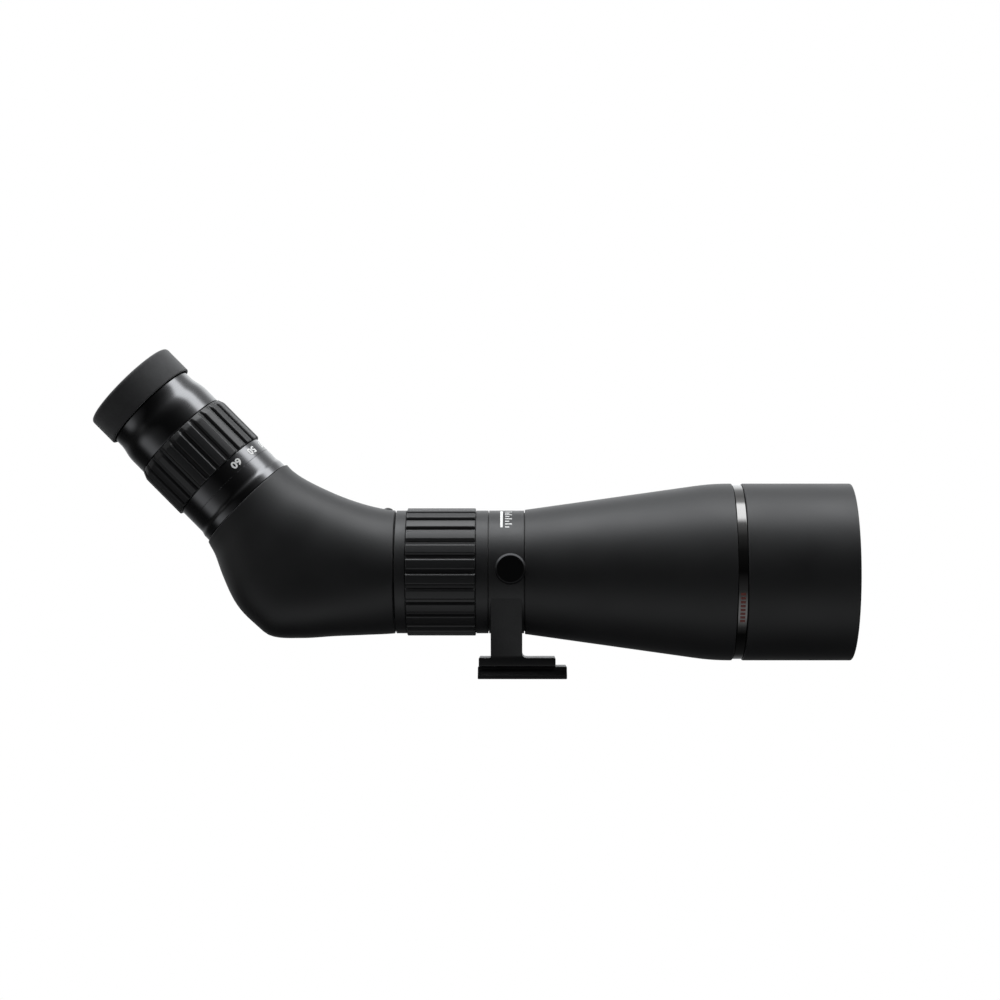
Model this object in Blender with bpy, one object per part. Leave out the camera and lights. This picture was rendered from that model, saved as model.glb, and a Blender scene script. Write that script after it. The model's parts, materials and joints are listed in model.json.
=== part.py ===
"""Angled zoom spotting scope on a rotating tripod collar.

The origin is on the underside of the foot, below the middle of the collar. +X points to the
objective and +Z up. Sizes are in millimetres until a mesh is made. Round pieces are turned about
the Z axis of the empty that they hang on: the main axis, the eyepiece axis or the lock axis.
"""
import bpy
import bmesh
from math import cos, pi, radians, sin
from mathutils import Vector

MM = 0.001

# Driving dimensions, in millimetres and degrees
AXIS_HEIGHT = 57.0            # main axis above the underside of the foot
EYEPIECE_TILT = 45.0          # eyepiece axis above the main axis
AXES_MEET_X = -102.9          # where the eyepiece axis crosses the main axis
GAP = 0.3                     # air between pieces that touch
RUNNING_GAP = 0.5             # air round a piece that turns or slides
LARGE_ROUND = 32              # sides of a large turned piece
SMALL_ROUND = 24              # sides of a turned piece inside the scope
TINY_ROUND = 12               # sides of a pin or screw

TUBE_RADIUS = 28.6            # centre tube, outside
TUBE_BORE = 25.6
TUBE_REAR = -72.0
TUBE_FRONT = 20.0

COLLAR_REAR = -9.3
COLLAR_FRONT = 9.5
COLLAR_RADIUS = 33.1
COLLAR_BORE = 30.7
LINER_SETBACK = 1.2           # of the nylon liner from the collar's ends
STEM_HALF_LENGTH = 8.4
PAD_REAR = -14.7
PAD_FRONT = 26.2
PAD_BOTTOM = 6.8
PAD_TOP = 11.2
PAD_HALF_WIDTH = 18.4
FOOT_REAR = -15.2
FOOT_FRONT = 32.3
FOOT_TOP = 6.5
FOOT_HALF_WIDTH = 19.0
FOOT_WAIST_HALF_WIDTH = 15.5
FOOT_SCREWS_X = (-9.8, 25.0)
BUSH_X = 10.5
BUSH_RADIUS = 5.0
THREAD_RADIUS = 3.2           # tripod screw thread
HEAD_RADIUS = 2.7             # foot screws
HEAD_TOP = 3.4
SHANK_RADIUS = 1.5
SHANK_END = 10.2
PIN_RADIUS = 1.5              # focus and zoom pins

STEM_SHOULDER_Z = 47.0         # where the stem's side faces leave the ring
KNOB_X = 2.3
KNOB_Z = 58.5
KNOB_RADIUS = 8.2
KNOB_BACK = 38.2              # distances of the lock parts from the main axis's upright plane
KNOB_FACE = 50.4
BOSS_RADIUS = 6.6
BOSS_FACE = 37.6
STUD_RADIUS = 2.5
STUD_END = 45.0
SHOE_END = 31.4

SHELL_REAR = 9.9
SHELL_REAR_RADIUS = 33.5
SHELL_CONE_END = 100.0
SHELL_CONE_END_RADIUS = 46.15
SHELL_EASE_END = 116.0        # where the cone has turned into the straight front
SHELL_FRONT = 120.9
SHELL_FRONT_RADIUS = 47.6
SHELL_EASE_STEPS = 4

OBJECTIVE_TUBE_REAR = 104.3
OBJECTIVE_TUBE_FRONT = 146.7
OBJECTIVE_CELL_FRONT = 177.0
OBJECTIVE_TUBE_RADIUS = 43.9
OBJECTIVE_BORE = 41.4
OBJECTIVE_SEAT = 149.6
OBJECTIVE_LIP = 3.2           # how far the lens seat stands in from the cell's bore
LENS_RADIUS = 40.9
REAR_LENS_EDGES = (OBJECTIVE_SEAT + 0.4, OBJECTIVE_SEAT + 9.1)
FRONT_LENS_EDGES = (OBJECTIVE_SEAT + 11.4, OBJECTIVE_SEAT + 16.4)
RETAINER_FRONT = 174.0
BAFFLE_THICKNESS = 1.2
BAFFLES = (                   # name, position, rim radius, hole radius
    ("baffle_rear", 40.0, 34.8, 29.0),
    ("baffle_middle", 72.0, 39.3, 33.0),
    ("baffle_front", 112.0, 39.4, 36.0),
)

RING_REAR = 121.2             # accent ring
RING_FRONT = 126.2
RING_RADIUS = 46.85
HOOD_REAR = 126.5
HOOD_FRONT = 185.0
HOOD_RADIUS = 47.6
HOOD_BORE = 45.4

FOCUS_REAR = -59.1
FOCUS_FRONT = -9.7
FOCUS_FLANGE_RADIUS = 33.1
FOCUS_CORE_RADIUS = 31.9
FOCUS_GRIP_REAR = -53.2
FOCUS_GRIP_FRONT = -16.5
FOCUS_GRIP_RADIUS = 34.3
FOCUS_GROOVE_RADIUS = 33.1
FOCUS_RIBS = 26
FOCUS_PIN_X = -40.0
FOCUS_TRAVEL = 12.0
FOCUS_CHANNEL_RADIUS = TUBE_RADIUS + 2.4  # groove inside the ring that drives the pin
CELL_RADIUS = TUBE_BORE - 0.6  # focusing cell
CELL_REAR = FOCUS_PIN_X - 8.0
CELL_FRONT = FOCUS_PIN_X + 8.0

HOUSING_FRONT = -60.8
HOUSING_FACE = 52.1           # along the eyepiece axis from where the axes meet
HOUSING_WALL = 2.6
SEAL_RADIUS = 31.9
HOUSING_SIDES = 28            # points round each section of the housing
BELLY_FULLNESS = 0.7          # how much squarer the housing's underside is
SPIGOT_RADIUS = 25.0          # of the eyepiece, in the housing
BEAD_X = -64.0                # sight bead
BEAD_RADIUS = 2.6
BEAD_BOTTOM = AXIS_HEIGHT + TUBE_RADIUS + 2.6
BEAD_TOP = AXIS_HEIGHT + 35.0

PRISM_OUTLINE = ((-84.0, 40.5), (-84.0, 74.0), (-106.4, 81.7), (-127.6, 60.5), (-119.0, 37.5))
PRISM_HALF_WIDTH = 16.0
CAGE_HALF_WIDTH = 21.0
CAGE_BOTTOM = 34.0
CAGE_FLOOR = 37.0
CAGE_TOP = 60.0
CAGE_X = (-116.0, -86.0)
CLAMP_X = (-97.0, -89.0)
PRISM_SCREW_RADIUS = 1.2
PRISM_SCREW_END = 52.0

BASE_FLANGE_RADIUS = 28.6     # heights from here on are along the eyepiece axis
BASE_FLANGE_END = 56.2
BASE_TAPER_END = 58.3
FIELD_STOP_HOLE = 12.0
FIELD_STOP = (55.0, 56.5)
ZOOM_BAND_START = 65.5
ZOOM_BAND_RADIUS = 27.9
ZOOM_GRIP_START = 73.7
ZOOM_GRIP_END = 103.1
ZOOM_GRIP_RADIUS = 29.4
ZOOM_GROOVE_RADIUS = 28.3
ZOOM_CORE_RADIUS = 27.0
ZOOM_RIBS = 24
ZOOM_FRONT_PIN = 79.0
ZOOM_REAR_PIN = 97.5
SLEEVE_RADIUS = 24.6          # eyepiece sleeve that the zoom ring turns on
SLEEVE_BORE = 22.2
SLEEVE_END = 118.0
ZOOM_CELL_RADIUS = SLEEVE_BORE - 0.6
EYE_SEAT = 123.0              # shoulder that the eye lens rests on
BARREL_START = 103.6
BARREL_RADIUS = 27.7
BARREL_NECK_RADIUS = 26.1
BARREL_TAPER = (114.5, 121.0)
BARREL_MOUTH_RADIUS = 23.4
BARREL_END = 133.5
EYE_CELL_RADIUS = 19.7
EYE_SEAT_RADIUS = 18.0
EYE_LENS_RADIUS = 19.2
BARREL_NECK_END = 126.2
EYECUP_START = 126.7
EYECUP_END = 143.1
EYECUP_RADIUS = 28.0
EYECUP_BORE = 26.8
EYECUP_SEAT = 139.9           # where the cup rests on its sleeve
EYECUP_SEAT_RADIUS = 20.8
EYECUP_MOUTH_RADIUS = 23.6
CAM_RADIUS = 24.9
CAM_END = 137.6                # stays inside the sleeve when the cup is up
CUP_SLEEVE_BORE = 25.4
CUP_SLEEVE_RADIUS = 26.3
CUP_SLEEVE_HOLE = 19.8
CUP_SLEEVE_END = 139.6

# Housing sections, on planes that fan out from the line where its two end planes meet:
# angle of the plane, nearest and furthest distance from that line, half width, squareness
HOUSING_SECTIONS = (
    (0.0, 82.6, 149.0, 33.2, 2.0),
    (6.0, 81.6, 150.6, 33.6, 2.05),
    (12.0, 80.8, 153.8, 34.2, 2.15),
    (18.0, 80.3, 159.2, 34.4, 2.25),
    (23.5, 80.2, 163.9, 34.2, 2.3),
    (27.0, 80.3, 162.0, 33.9, 2.3),
    (32.0, 80.8, 157.9, 33.2, 2.25),
    (38.0, 81.7, 149.3, 31.6, 2.1),
    (42.0, 82.1, 143.6, 30.4, 2.05),
    (45.0, 81.95, 141.35, 29.7, 2.0),
)


def clear_scene():
    """Remove whatever the file held before."""
    for obj in list(bpy.data.objects):
        bpy.data.objects.remove(obj, do_unlink=True)


def finish_material(name, colour, roughness, metallic=0.0):
    """A Principled material of one colour."""
    material = bpy.data.materials.new(name)
    material.use_nodes = True
    shader = material.node_tree.nodes["Principled BSDF"]
    shader.inputs["Base Color"].default_value = (*colour, 1.0)
    shader.inputs["Roughness"].default_value = roughness
    shader.inputs["Metallic"].default_value = metallic
    return material


def axis_empty(name, location, rotation):
    """An empty whose local Z is the axis that its pieces turn or slide on."""
    empty = bpy.data.objects.new(name, None)
    empty.location = Vector(location) * MM
    empty.rotation_euler = rotation
    bpy.context.scene.collection.objects.link(empty)
    return empty


def add_object(name, mesh_data, parent, material=None):
    """Turn a bmesh, in millimetres, into an object on its parent's axis."""
    bmesh.ops.scale(mesh_data, vec=(MM, MM, MM), verts=mesh_data.verts)
    bmesh.ops.recalc_face_normals(mesh_data, faces=mesh_data.faces)
    mesh = bpy.data.meshes.new(name)
    mesh_data.to_mesh(mesh)
    mesh_data.free()
    mesh.shade_smooth()
    mesh.set_sharp_from_angle(angle=radians(35))
    if material is not None:
        mesh.materials.append(material)
    obj = bpy.data.objects.new(name, mesh)
    obj.parent = parent
    bpy.context.scene.collection.objects.link(obj)
    return obj


def turned_mesh(profile, sides):
    """Spin a closed (radius, height) outline about Z."""
    work = bmesh.new()
    points = [work.verts.new((radius, 0.0, height)) for radius, height in profile]
    edges = []
    for start, end in zip(points, points[1:] + points[:1]):
        if start.co.x > 0.0 or end.co.x > 0.0:
            edges.append(work.edges.new((start, end)))
    bmesh.ops.spin(work, geom=points + edges, cent=(0, 0, 0), axis=(0, 0, 1),
                   angle=2 * pi, steps=sides, use_merge=True)
    bmesh.ops.remove_doubles(work, verts=work.verts, dist=0.001)
    return work


def turned(name, profile, parent, material, sides=SMALL_ROUND):
    """A piece turned on a lathe."""
    return add_object(name, turned_mesh(profile, sides), parent, material)


def ring(name, bore, radius, start, end, parent, material, sides=SMALL_ROUND):
    """A plain ring."""
    profile = [(bore, start), (radius, start), (radius, end), (bore, end)]
    return turned(name, profile, parent, material, sides)


def lens(name, radius, rear_edge, front_edge, rear_bulge, front_bulge, parent, material):
    """A lens with two curved faces; a negative bulge is hollow."""
    steps = 4
    rear = []
    front = []
    for step in range(steps):
        part = step / steps
        fall = 1.0 - part * part
        rear.append((radius * part, rear_edge - rear_bulge * fall))
        front.append((radius * part, front_edge + front_bulge * fall))
    profile = rear + [(radius, rear_edge), (radius, front_edge)] + front[::-1]
    return turned(name, profile, parent, material)


def loft_mesh(loops):
    """Skin a row of equal loops of points and close both ends."""
    work = bmesh.new()
    rows = [[work.verts.new(point) for point in loop] for loop in loops]
    for low, high in zip(rows, rows[1:]):
        for index in range(len(low)):
            after = (index + 1) % len(low)
            work.faces.new((low[index], low[after], high[after], high[index]))
    work.faces.new(rows[0][::-1])
    work.faces.new(rows[-1])
    return work


def prism_mesh(outline, start, end, axis):
    """Extrude a closed outline along axis "x", "y" or "z"; the outline keeps the other two."""
    def place(first, second, depth):
        return {"x": (depth, first, second), "y": (first, depth, second),
                "z": (first, second, depth)}[axis]
    return loft_mesh([[place(a, b, start) for a, b in outline],
                      [place(a, b, end) for a, b in outline]])


def ribbed_sleeve(name, ribs, first, bore, groove, land, stations, parent, material):
    """A rubber sleeve with ribs along it; stations are (height, how far the ribs stand).

    The first rib's middle is first pitches round from +Y.
    """
    work = bmesh.new()
    pitch = 2 * pi / ribs
    land_half = 0.31 * pitch
    flank = 0.05 * pitch
    corners = ((-land_half - flank, groove), (-land_half, land),
               (land_half, land), (land_half + flank, groove))
    outer_rows = []
    inner_rows = []
    for height, stand in stations:
        outer = []
        inner = []
        for rib in range(ribs):
            for offset, radius in corners:
                angle = (rib + first) * pitch + offset + pi / 2
                reach = groove + (radius - groove) * stand
                outer.append(work.verts.new((reach * cos(angle), reach * sin(angle), height)))
                inner.append(work.verts.new((bore * cos(angle), bore * sin(angle), height)))
        outer_rows.append(outer)
        inner_rows.append(inner)
    rows = outer_rows + [inner_rows[-1], inner_rows[0]]
    for row, after in zip(rows, rows[1:] + rows[:1]):
        for index in range(len(row)):
            beside = (index + 1) % len(row)
            work.faces.new((row[index], row[beside], after[beside], after[index]))
    loose = [vert for vert in work.verts if not vert.link_faces]
    bmesh.ops.delete(work, geom=loose, context="VERTS")
    return add_object(name, work, parent, material)


def cutter(name, mesh_data, parent):
    """A solid that only cuts others."""
    obj = add_object(name, mesh_data, parent)
    obj.hide_render = True
    obj.display_type = "WIRE"
    return obj


def combine(target, tool, operation="DIFFERENCE"):
    """Cut the tool out of the target, or join it on."""
    modifier = target.modifiers.new(tool.name, "BOOLEAN")
    modifier.object = tool
    modifier.operation = operation
    modifier.solver = "EXACT"


def radial_mesh(radius, inner, outer, height, direction, sides=TINY_ROUND, length=0.0):
    """A round bar that stands out from an axis along +X or -X, or a slot of that length."""
    outline = []
    for side in range(sides):
        angle = 2 * pi * (side + 0.5) / sides
        stretch = length / 2 if sin(angle) > 0 else -length / 2
        outline.append((radius * cos(angle), height + radius * sin(angle) + stretch))
    return prism_mesh(outline, direction * inner, direction * outer, "x")


def section_loops(inset, first_angle, last_angle):
    """Sections of the prism housing between two fan planes, shrunk by inset."""
    face = HOUSING_FACE
    fan_z = AXIS_HEIGHT + face / cos(radians(EYEPIECE_TILT)) + HOUSING_FRONT - AXES_MEET_X
    loops = []
    for angle, near, far, half_width, power in HOUSING_SECTIONS:
        if not first_angle <= angle <= last_angle:
            continue
        turn = radians(angle)
        middle = (near + far) / 2
        half_height = (far - near) / 2 - inset
        fullness = BELLY_FULLNESS * max(sin(pi * angle / EYEPIECE_TILT), 0.0)
        loop = []
        for side in range(HOUSING_SIDES):
            around = 2 * pi * side / HOUSING_SIDES
            across = cos(around)
            along = sin(around)
            square = power + fullness * max(along, 0.0) ** 0.5
            size = (abs(across) ** square + abs(along) ** square) ** (-1 / square)
            reach = middle + half_height * size * along
            loop.append((HOUSING_FRONT - reach * sin(turn), (half_width - inset) * size * across,
                         fan_z - reach * cos(turn)))
        loops.append(loop)
    return loops


clear_scene()

# Finishes
body_paint = finish_material("satin_black_paint", (0.030, 0.031, 0.033), 0.55)
ring_paint = finish_material("collar_black_paint", (0.026, 0.026, 0.028), 0.50)
gloss_black = finish_material("gloss_black_anodising", (0.012, 0.012, 0.013), 0.16, 0.4)
inner_black = finish_material("inner_black_anodising", (0.015, 0.015, 0.016), 0.75, 0.2)
grip_rubber = finish_material("grip_rubber", (0.022, 0.022, 0.023), 0.70)
cup_rubber = finish_material("eyecup_rubber", (0.030, 0.030, 0.031), 0.80)
felt = finish_material("black_felt", (0.010, 0.010, 0.010), 0.95)
nylon = finish_material("nylon_liner", (0.60, 0.60, 0.57), 0.45)
bright_steel = finish_material("screw_steel", (0.55, 0.55, 0.56), 0.30, 1.0)
brass = finish_material("brass", (0.62, 0.47, 0.20), 0.35, 1.0)
optical_glass = finish_material("coated_glass", (0.35, 0.50, 0.45), 0.03)
cage_metal = finish_material("cage_aluminium", (0.50, 0.50, 0.51), 0.45, 1.0)

# Axes
root = axis_empty("root_frame", (0, 0, 0), (0, 0, 0))
main_axis = axis_empty("main_axis", (0, 0, AXIS_HEIGHT), (0, pi / 2, 0))
eyepiece_axis = axis_empty("eyepiece_axis", (AXES_MEET_X, 0, AXIS_HEIGHT),
                           (0, -radians(EYEPIECE_TILT), 0))
lock_axis = axis_empty("lock_axis", (KNOB_X, 0, KNOB_Z), (pi / 2, 0, 0))

# Tripod collar: ring, boss, stem and pad in one casting
collar_ring = ring("collar_ring", COLLAR_BORE, COLLAR_RADIUS, COLLAR_REAR, COLLAR_FRONT,
                   main_axis, ring_paint, LARGE_ROUND)
stem_middle = (COLLAR_REAR + COLLAR_FRONT) / 2
stem_outline = [(STEM_HALF_LENGTH + stem_middle, AXIS_HEIGHT),
                (STEM_HALF_LENGTH + stem_middle, PAD_TOP + 2.2),
                (STEM_HALF_LENGTH + stem_middle + 0.7, PAD_TOP + 0.7),
                (STEM_HALF_LENGTH + stem_middle + 2.2, PAD_TOP),
                (PAD_FRONT - 0.8, PAD_TOP), (PAD_FRONT, PAD_TOP - 0.8),
                (PAD_FRONT, PAD_BOTTOM), (PAD_REAR, PAD_BOTTOM),
                (PAD_REAR, PAD_TOP - 0.8), (PAD_REAR + 0.8, PAD_TOP),
                (stem_middle - STEM_HALF_LENGTH, PAD_TOP),
                (stem_middle - STEM_HALF_LENGTH, AXIS_HEIGHT)]
stem = cutter("stem_block", prism_mesh(stem_outline, -COLLAR_RADIUS, COLLAR_RADIUS, "y"), root)
shoulder_y = (COLLAR_RADIUS ** 2 - (AXIS_HEIGHT - STEM_SHOULDER_Z) ** 2) ** 0.5 - 0.1
stem_slab = [(-shoulder_y + 3.0, AXIS_HEIGHT), (-shoulder_y, STEM_SHOULDER_Z),
             (-PAD_HALF_WIDTH, PAD_TOP + 1.0), (-PAD_HALF_WIDTH, PAD_BOTTOM - 1.0)]
stem_slab = stem_slab + [(-y, z) for y, z in stem_slab[::-1]]
stem_side = cutter("stem_side", prism_mesh(stem_slab, PAD_REAR - 1, PAD_FRONT + 1, "x"), root)
collar_hole = cutter("collar_hole", turned_mesh(
    [(0, COLLAR_REAR - 1), (COLLAR_BORE, COLLAR_REAR - 1), (COLLAR_BORE, COLLAR_FRONT + 1),
     (0, COLLAR_FRONT + 1)], LARGE_ROUND), main_axis)
boss = cutter("boss", turned_mesh([(0, COLLAR_BORE - 6), (BOSS_RADIUS, COLLAR_BORE - 6),
                                   (BOSS_RADIUS, BOSS_FACE), (0, BOSS_FACE)], 20), lock_axis)
stud_hole = cutter("stud_hole", turned_mesh(
    [(0, 24), (STUD_RADIUS + RUNNING_GAP, 24), (STUD_RADIUS + RUNNING_GAP, BOSS_FACE + 1),
     (0, BOSS_FACE + 1)], TINY_ROUND), lock_axis)
combine(stem, stem_side, "INTERSECT")
combine(collar_ring, stem, "UNION")
combine(collar_ring, boss, "UNION")
combine(collar_ring, collar_hole)
combine(collar_ring, stud_hole)

collar_liner = ring("collar_liner", TUBE_RADIUS + RUNNING_GAP, COLLAR_BORE - 0.5,
                    COLLAR_REAR + LINER_SETBACK, COLLAR_FRONT - LINER_SETBACK, main_axis, nylon,
                    LARGE_ROUND)
combine(collar_liner, stud_hole)

# Foot: dovetail plate, its screws and the threaded bush
dovetail = [(-FOOT_HALF_WIDTH + 0.5, 0.0), (FOOT_HALF_WIDTH - 0.5, 0.0), (FOOT_HALF_WIDTH, 0.5),
            (FOOT_HALF_WIDTH, 2.0), (FOOT_WAIST_HALF_WIDTH, 5.2), (FOOT_WAIST_HALF_WIDTH, FOOT_TOP),
            (-FOOT_WAIST_HALF_WIDTH, FOOT_TOP), (-FOOT_WAIST_HALF_WIDTH, 5.2),
            (-FOOT_HALF_WIDTH, 2.0), (-FOOT_HALF_WIDTH, 0.5)]
dovetail_foot = add_object("dovetail_foot", prism_mesh(dovetail, FOOT_REAR, FOOT_FRONT, "x"),
                           root, ring_paint)
for label, screw_x in zip(("rear", "front"), FOOT_SCREWS_X):
    screw_axis = axis_empty(f"foot_screw_{label}_axis", (screw_x, 0, 0), (0, 0, 0))
    turned(f"foot_screw_{label}",
           [(0, 2.2), (1.2, 2.2), (1.2, 0.6), (HEAD_RADIUS, 0.6), (HEAD_RADIUS, HEAD_TOP),
            (SHANK_RADIUS, HEAD_TOP), (SHANK_RADIUS, SHANK_END), (0, SHANK_END)],
           screw_axis, bright_steel, TINY_ROUND)
    hole = cutter(f"foot_screw_{label}_hole", turned_mesh(
        [(0, -1), (HEAD_RADIUS + GAP, -1), (HEAD_RADIUS + GAP, HEAD_TOP + GAP),
         (SHANK_RADIUS + GAP, HEAD_TOP + GAP), (SHANK_RADIUS + GAP, SHANK_END + GAP),
         (0, SHANK_END + GAP)],
        TINY_ROUND), screw_axis)
    combine(dovetail_foot, hole)
    combine(collar_ring, hole)
bush_axis = axis_empty("bush_axis", (BUSH_X, 0, 0), (0, 0, 0))
ring("tripod_bush", THREAD_RADIUS, BUSH_RADIUS, 0.2, FOOT_TOP - 0.5, bush_axis, bright_steel, 20)
bush_hole = cutter("bush_hole", turned_mesh(
    [(0, -1), (BUSH_RADIUS + GAP, -1), (BUSH_RADIUS + GAP, FOOT_TOP + 1), (0, FOOT_TOP + 1)],
    20), bush_axis)
combine(dovetail_foot, bush_hole)

# Collar lock: knob, stud and shoe on the lock axis
turned("lock_knob",
       [(STUD_RADIUS + GAP, KNOB_BACK), (KNOB_RADIUS - 0.6, KNOB_BACK),
        (KNOB_RADIUS, KNOB_BACK + 0.6), (KNOB_RADIUS, KNOB_FACE - 1.0),
        (KNOB_RADIUS - 1.0, KNOB_FACE), (0, KNOB_FACE), (0, STUD_END + GAP),
        (STUD_RADIUS + GAP, STUD_END + GAP)], lock_axis, ring_paint, 24)
turned("lock_stud", [(0, SHOE_END + GAP), (STUD_RADIUS, SHOE_END + GAP), (STUD_RADIUS, STUD_END),
                     (0, STUD_END)], lock_axis, bright_steel, TINY_ROUND)
turned("clamp_shoe", [(0, TUBE_RADIUS + 0.4), (STUD_RADIUS, TUBE_RADIUS + 0.4),
                      (STUD_RADIUS, SHOE_END), (0, SHOE_END)], lock_axis, brass, TINY_ROUND)

# Centre tube with the straight slot for the focus pin
centre_tube = ring("centre_tube", TUBE_BORE, TUBE_RADIUS, TUBE_REAR, TUBE_FRONT, main_axis,
                   inner_black, LARGE_ROUND)
focus_slot = cutter("focus_slot", radial_mesh(
    PIN_RADIUS + RUNNING_GAP, TUBE_BORE - 3, TUBE_RADIUS + 3, FOCUS_PIN_X - FOCUS_TRAVEL / 2, 1,
    length=FOCUS_TRAVEL + 1), main_axis)
combine(centre_tube, focus_slot)

# Front shell: cone that eases into a short straight front
shell_outside = [(SHELL_REAR_RADIUS, SHELL_REAR), (SHELL_CONE_END_RADIUS, SHELL_CONE_END)]
for step in range(1, SHELL_EASE_STEPS + 1):
    part = step / SHELL_EASE_STEPS
    rise = (SHELL_FRONT_RADIUS - SHELL_CONE_END_RADIUS) * (2 * part - part * part)
    shell_outside.append((SHELL_CONE_END_RADIUS + rise,
                          SHELL_CONE_END + (SHELL_EASE_END - SHELL_CONE_END) * part))
shell_outside += [(SHELL_FRONT_RADIUS, SHELL_FRONT - 2.0),
                  (SHELL_FRONT_RADIUS - 0.5, SHELL_FRONT - 0.5),
                  (SHELL_FRONT_RADIUS - 1.2, SHELL_FRONT)]
turned("front_shell",
       [(TUBE_RADIUS + RUNNING_GAP, SHELL_REAR)] + shell_outside
       + [(OBJECTIVE_TUBE_RADIUS + RUNNING_GAP, SHELL_FRONT),
          (OBJECTIVE_TUBE_RADIUS + RUNNING_GAP, OBJECTIVE_TUBE_REAR - GAP),
          (SHELL_REAR_RADIUS - 0.6, TUBE_FRONT + 1.0), (TUBE_RADIUS + RUNNING_GAP, TUBE_FRONT + 1.0)],
       main_axis, body_paint, LARGE_ROUND)

# Objective: tube, cell, two lenses, spacer and retaining ring
ring("objective_tube", OBJECTIVE_BORE - 1.4, OBJECTIVE_TUBE_RADIUS, OBJECTIVE_TUBE_REAR,
     OBJECTIVE_TUBE_FRONT, main_axis, inner_black, LARGE_ROUND)
turned("objective_cell",
       [(OBJECTIVE_BORE - OBJECTIVE_LIP, OBJECTIVE_TUBE_FRONT + GAP),
        (OBJECTIVE_TUBE_RADIUS, OBJECTIVE_TUBE_FRONT + GAP),
        (OBJECTIVE_TUBE_RADIUS, OBJECTIVE_CELL_FRONT - 0.5),
        (OBJECTIVE_TUBE_RADIUS - 0.5, OBJECTIVE_CELL_FRONT),
        (OBJECTIVE_BORE, OBJECTIVE_CELL_FRONT), (OBJECTIVE_BORE, OBJECTIVE_SEAT),
        (OBJECTIVE_BORE - OBJECTIVE_LIP, OBJECTIVE_SEAT)], main_axis, inner_black, LARGE_ROUND)
lens("objective_rear_lens", LENS_RADIUS, *REAR_LENS_EDGES, 0.8, -4.3, main_axis, optical_glass)
ring("objective_spacer", LENS_RADIUS - 2.3, LENS_RADIUS, REAR_LENS_EDGES[1] + GAP,
     FRONT_LENS_EDGES[0] - 0.8, main_axis, inner_black)
lens("objective_front_lens", LENS_RADIUS, *FRONT_LENS_EDGES, 4.0, 4.5, main_axis, optical_glass)
turned("objective_retainer",
       [(LENS_RADIUS - 1.5, FRONT_LENS_EDGES[1] + 0.7), (LENS_RADIUS, FRONT_LENS_EDGES[1] + 0.7),
        (LENS_RADIUS, RETAINER_FRONT), (LENS_RADIUS - 0.6, RETAINER_FRONT)], main_axis, inner_black)

# Stray-light stops
for name, station, rim, hole_radius in BAFFLES:
    ring(name, hole_radius, rim, station, station + BAFFLE_THICKNESS, main_axis, inner_black)

# Accent ring and sliding hood with its felt band
turned("accent_ring",
       [(OBJECTIVE_TUBE_RADIUS + RUNNING_GAP, RING_REAR), (RING_RADIUS, RING_REAR),
        (RING_RADIUS, RING_FRONT), (OBJECTIVE_TUBE_RADIUS + RUNNING_GAP, RING_FRONT)],
       main_axis, gloss_black, LARGE_ROUND)
turned("lens_hood",
       [(HOOD_BORE, HOOD_REAR), (HOOD_RADIUS - 1.0, HOOD_REAR), (HOOD_RADIUS, HOOD_REAR + 1.0),
        (HOOD_RADIUS, HOOD_FRONT - 0.7), (HOOD_RADIUS - 0.7, HOOD_FRONT),
        (HOOD_BORE + 0.5, HOOD_FRONT), (HOOD_BORE, HOOD_FRONT - 0.5)],
       main_axis, body_paint, LARGE_ROUND)
ring("hood_felt", OBJECTIVE_TUBE_RADIUS + RUNNING_GAP, HOOD_BORE - 0.4, HOOD_REAR + 0.6,
     HOOD_REAR + 7.0, main_axis, felt, LARGE_ROUND)

# Focus ring: core with the annular channel for the pin, ribbed rubber on it
turned("focus_ring",
       [(TUBE_RADIUS + RUNNING_GAP, FOCUS_REAR), (FOCUS_FLANGE_RADIUS - 0.5, FOCUS_REAR),
        (FOCUS_FLANGE_RADIUS, FOCUS_REAR + 0.5), (FOCUS_FLANGE_RADIUS, FOCUS_GRIP_REAR - GAP),
        (FOCUS_CORE_RADIUS, FOCUS_GRIP_REAR - GAP), (FOCUS_CORE_RADIUS, FOCUS_GRIP_FRONT + GAP),
        (FOCUS_FLANGE_RADIUS, FOCUS_GRIP_FRONT + GAP), (FOCUS_FLANGE_RADIUS, FOCUS_FRONT - 0.5),
        (FOCUS_FLANGE_RADIUS - 0.5, FOCUS_FRONT), (TUBE_RADIUS + RUNNING_GAP, FOCUS_FRONT),
        (TUBE_RADIUS + RUNNING_GAP, FOCUS_PIN_X + 4), (FOCUS_CHANNEL_RADIUS, FOCUS_PIN_X + 4),
        (FOCUS_CHANNEL_RADIUS, FOCUS_PIN_X - FOCUS_TRAVEL - 4),
        (TUBE_RADIUS + RUNNING_GAP, FOCUS_PIN_X - FOCUS_TRAVEL - 4)],
       main_axis, ring_paint, LARGE_ROUND)
ribbed_sleeve("focus_grip", FOCUS_RIBS, 0.5, FOCUS_CORE_RADIUS + RUNNING_GAP, FOCUS_GROOVE_RADIUS,
              FOCUS_GRIP_RADIUS, ((FOCUS_GRIP_REAR, 1.0), (FOCUS_GRIP_FRONT, 1.0)),
              main_axis, grip_rubber)

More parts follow.
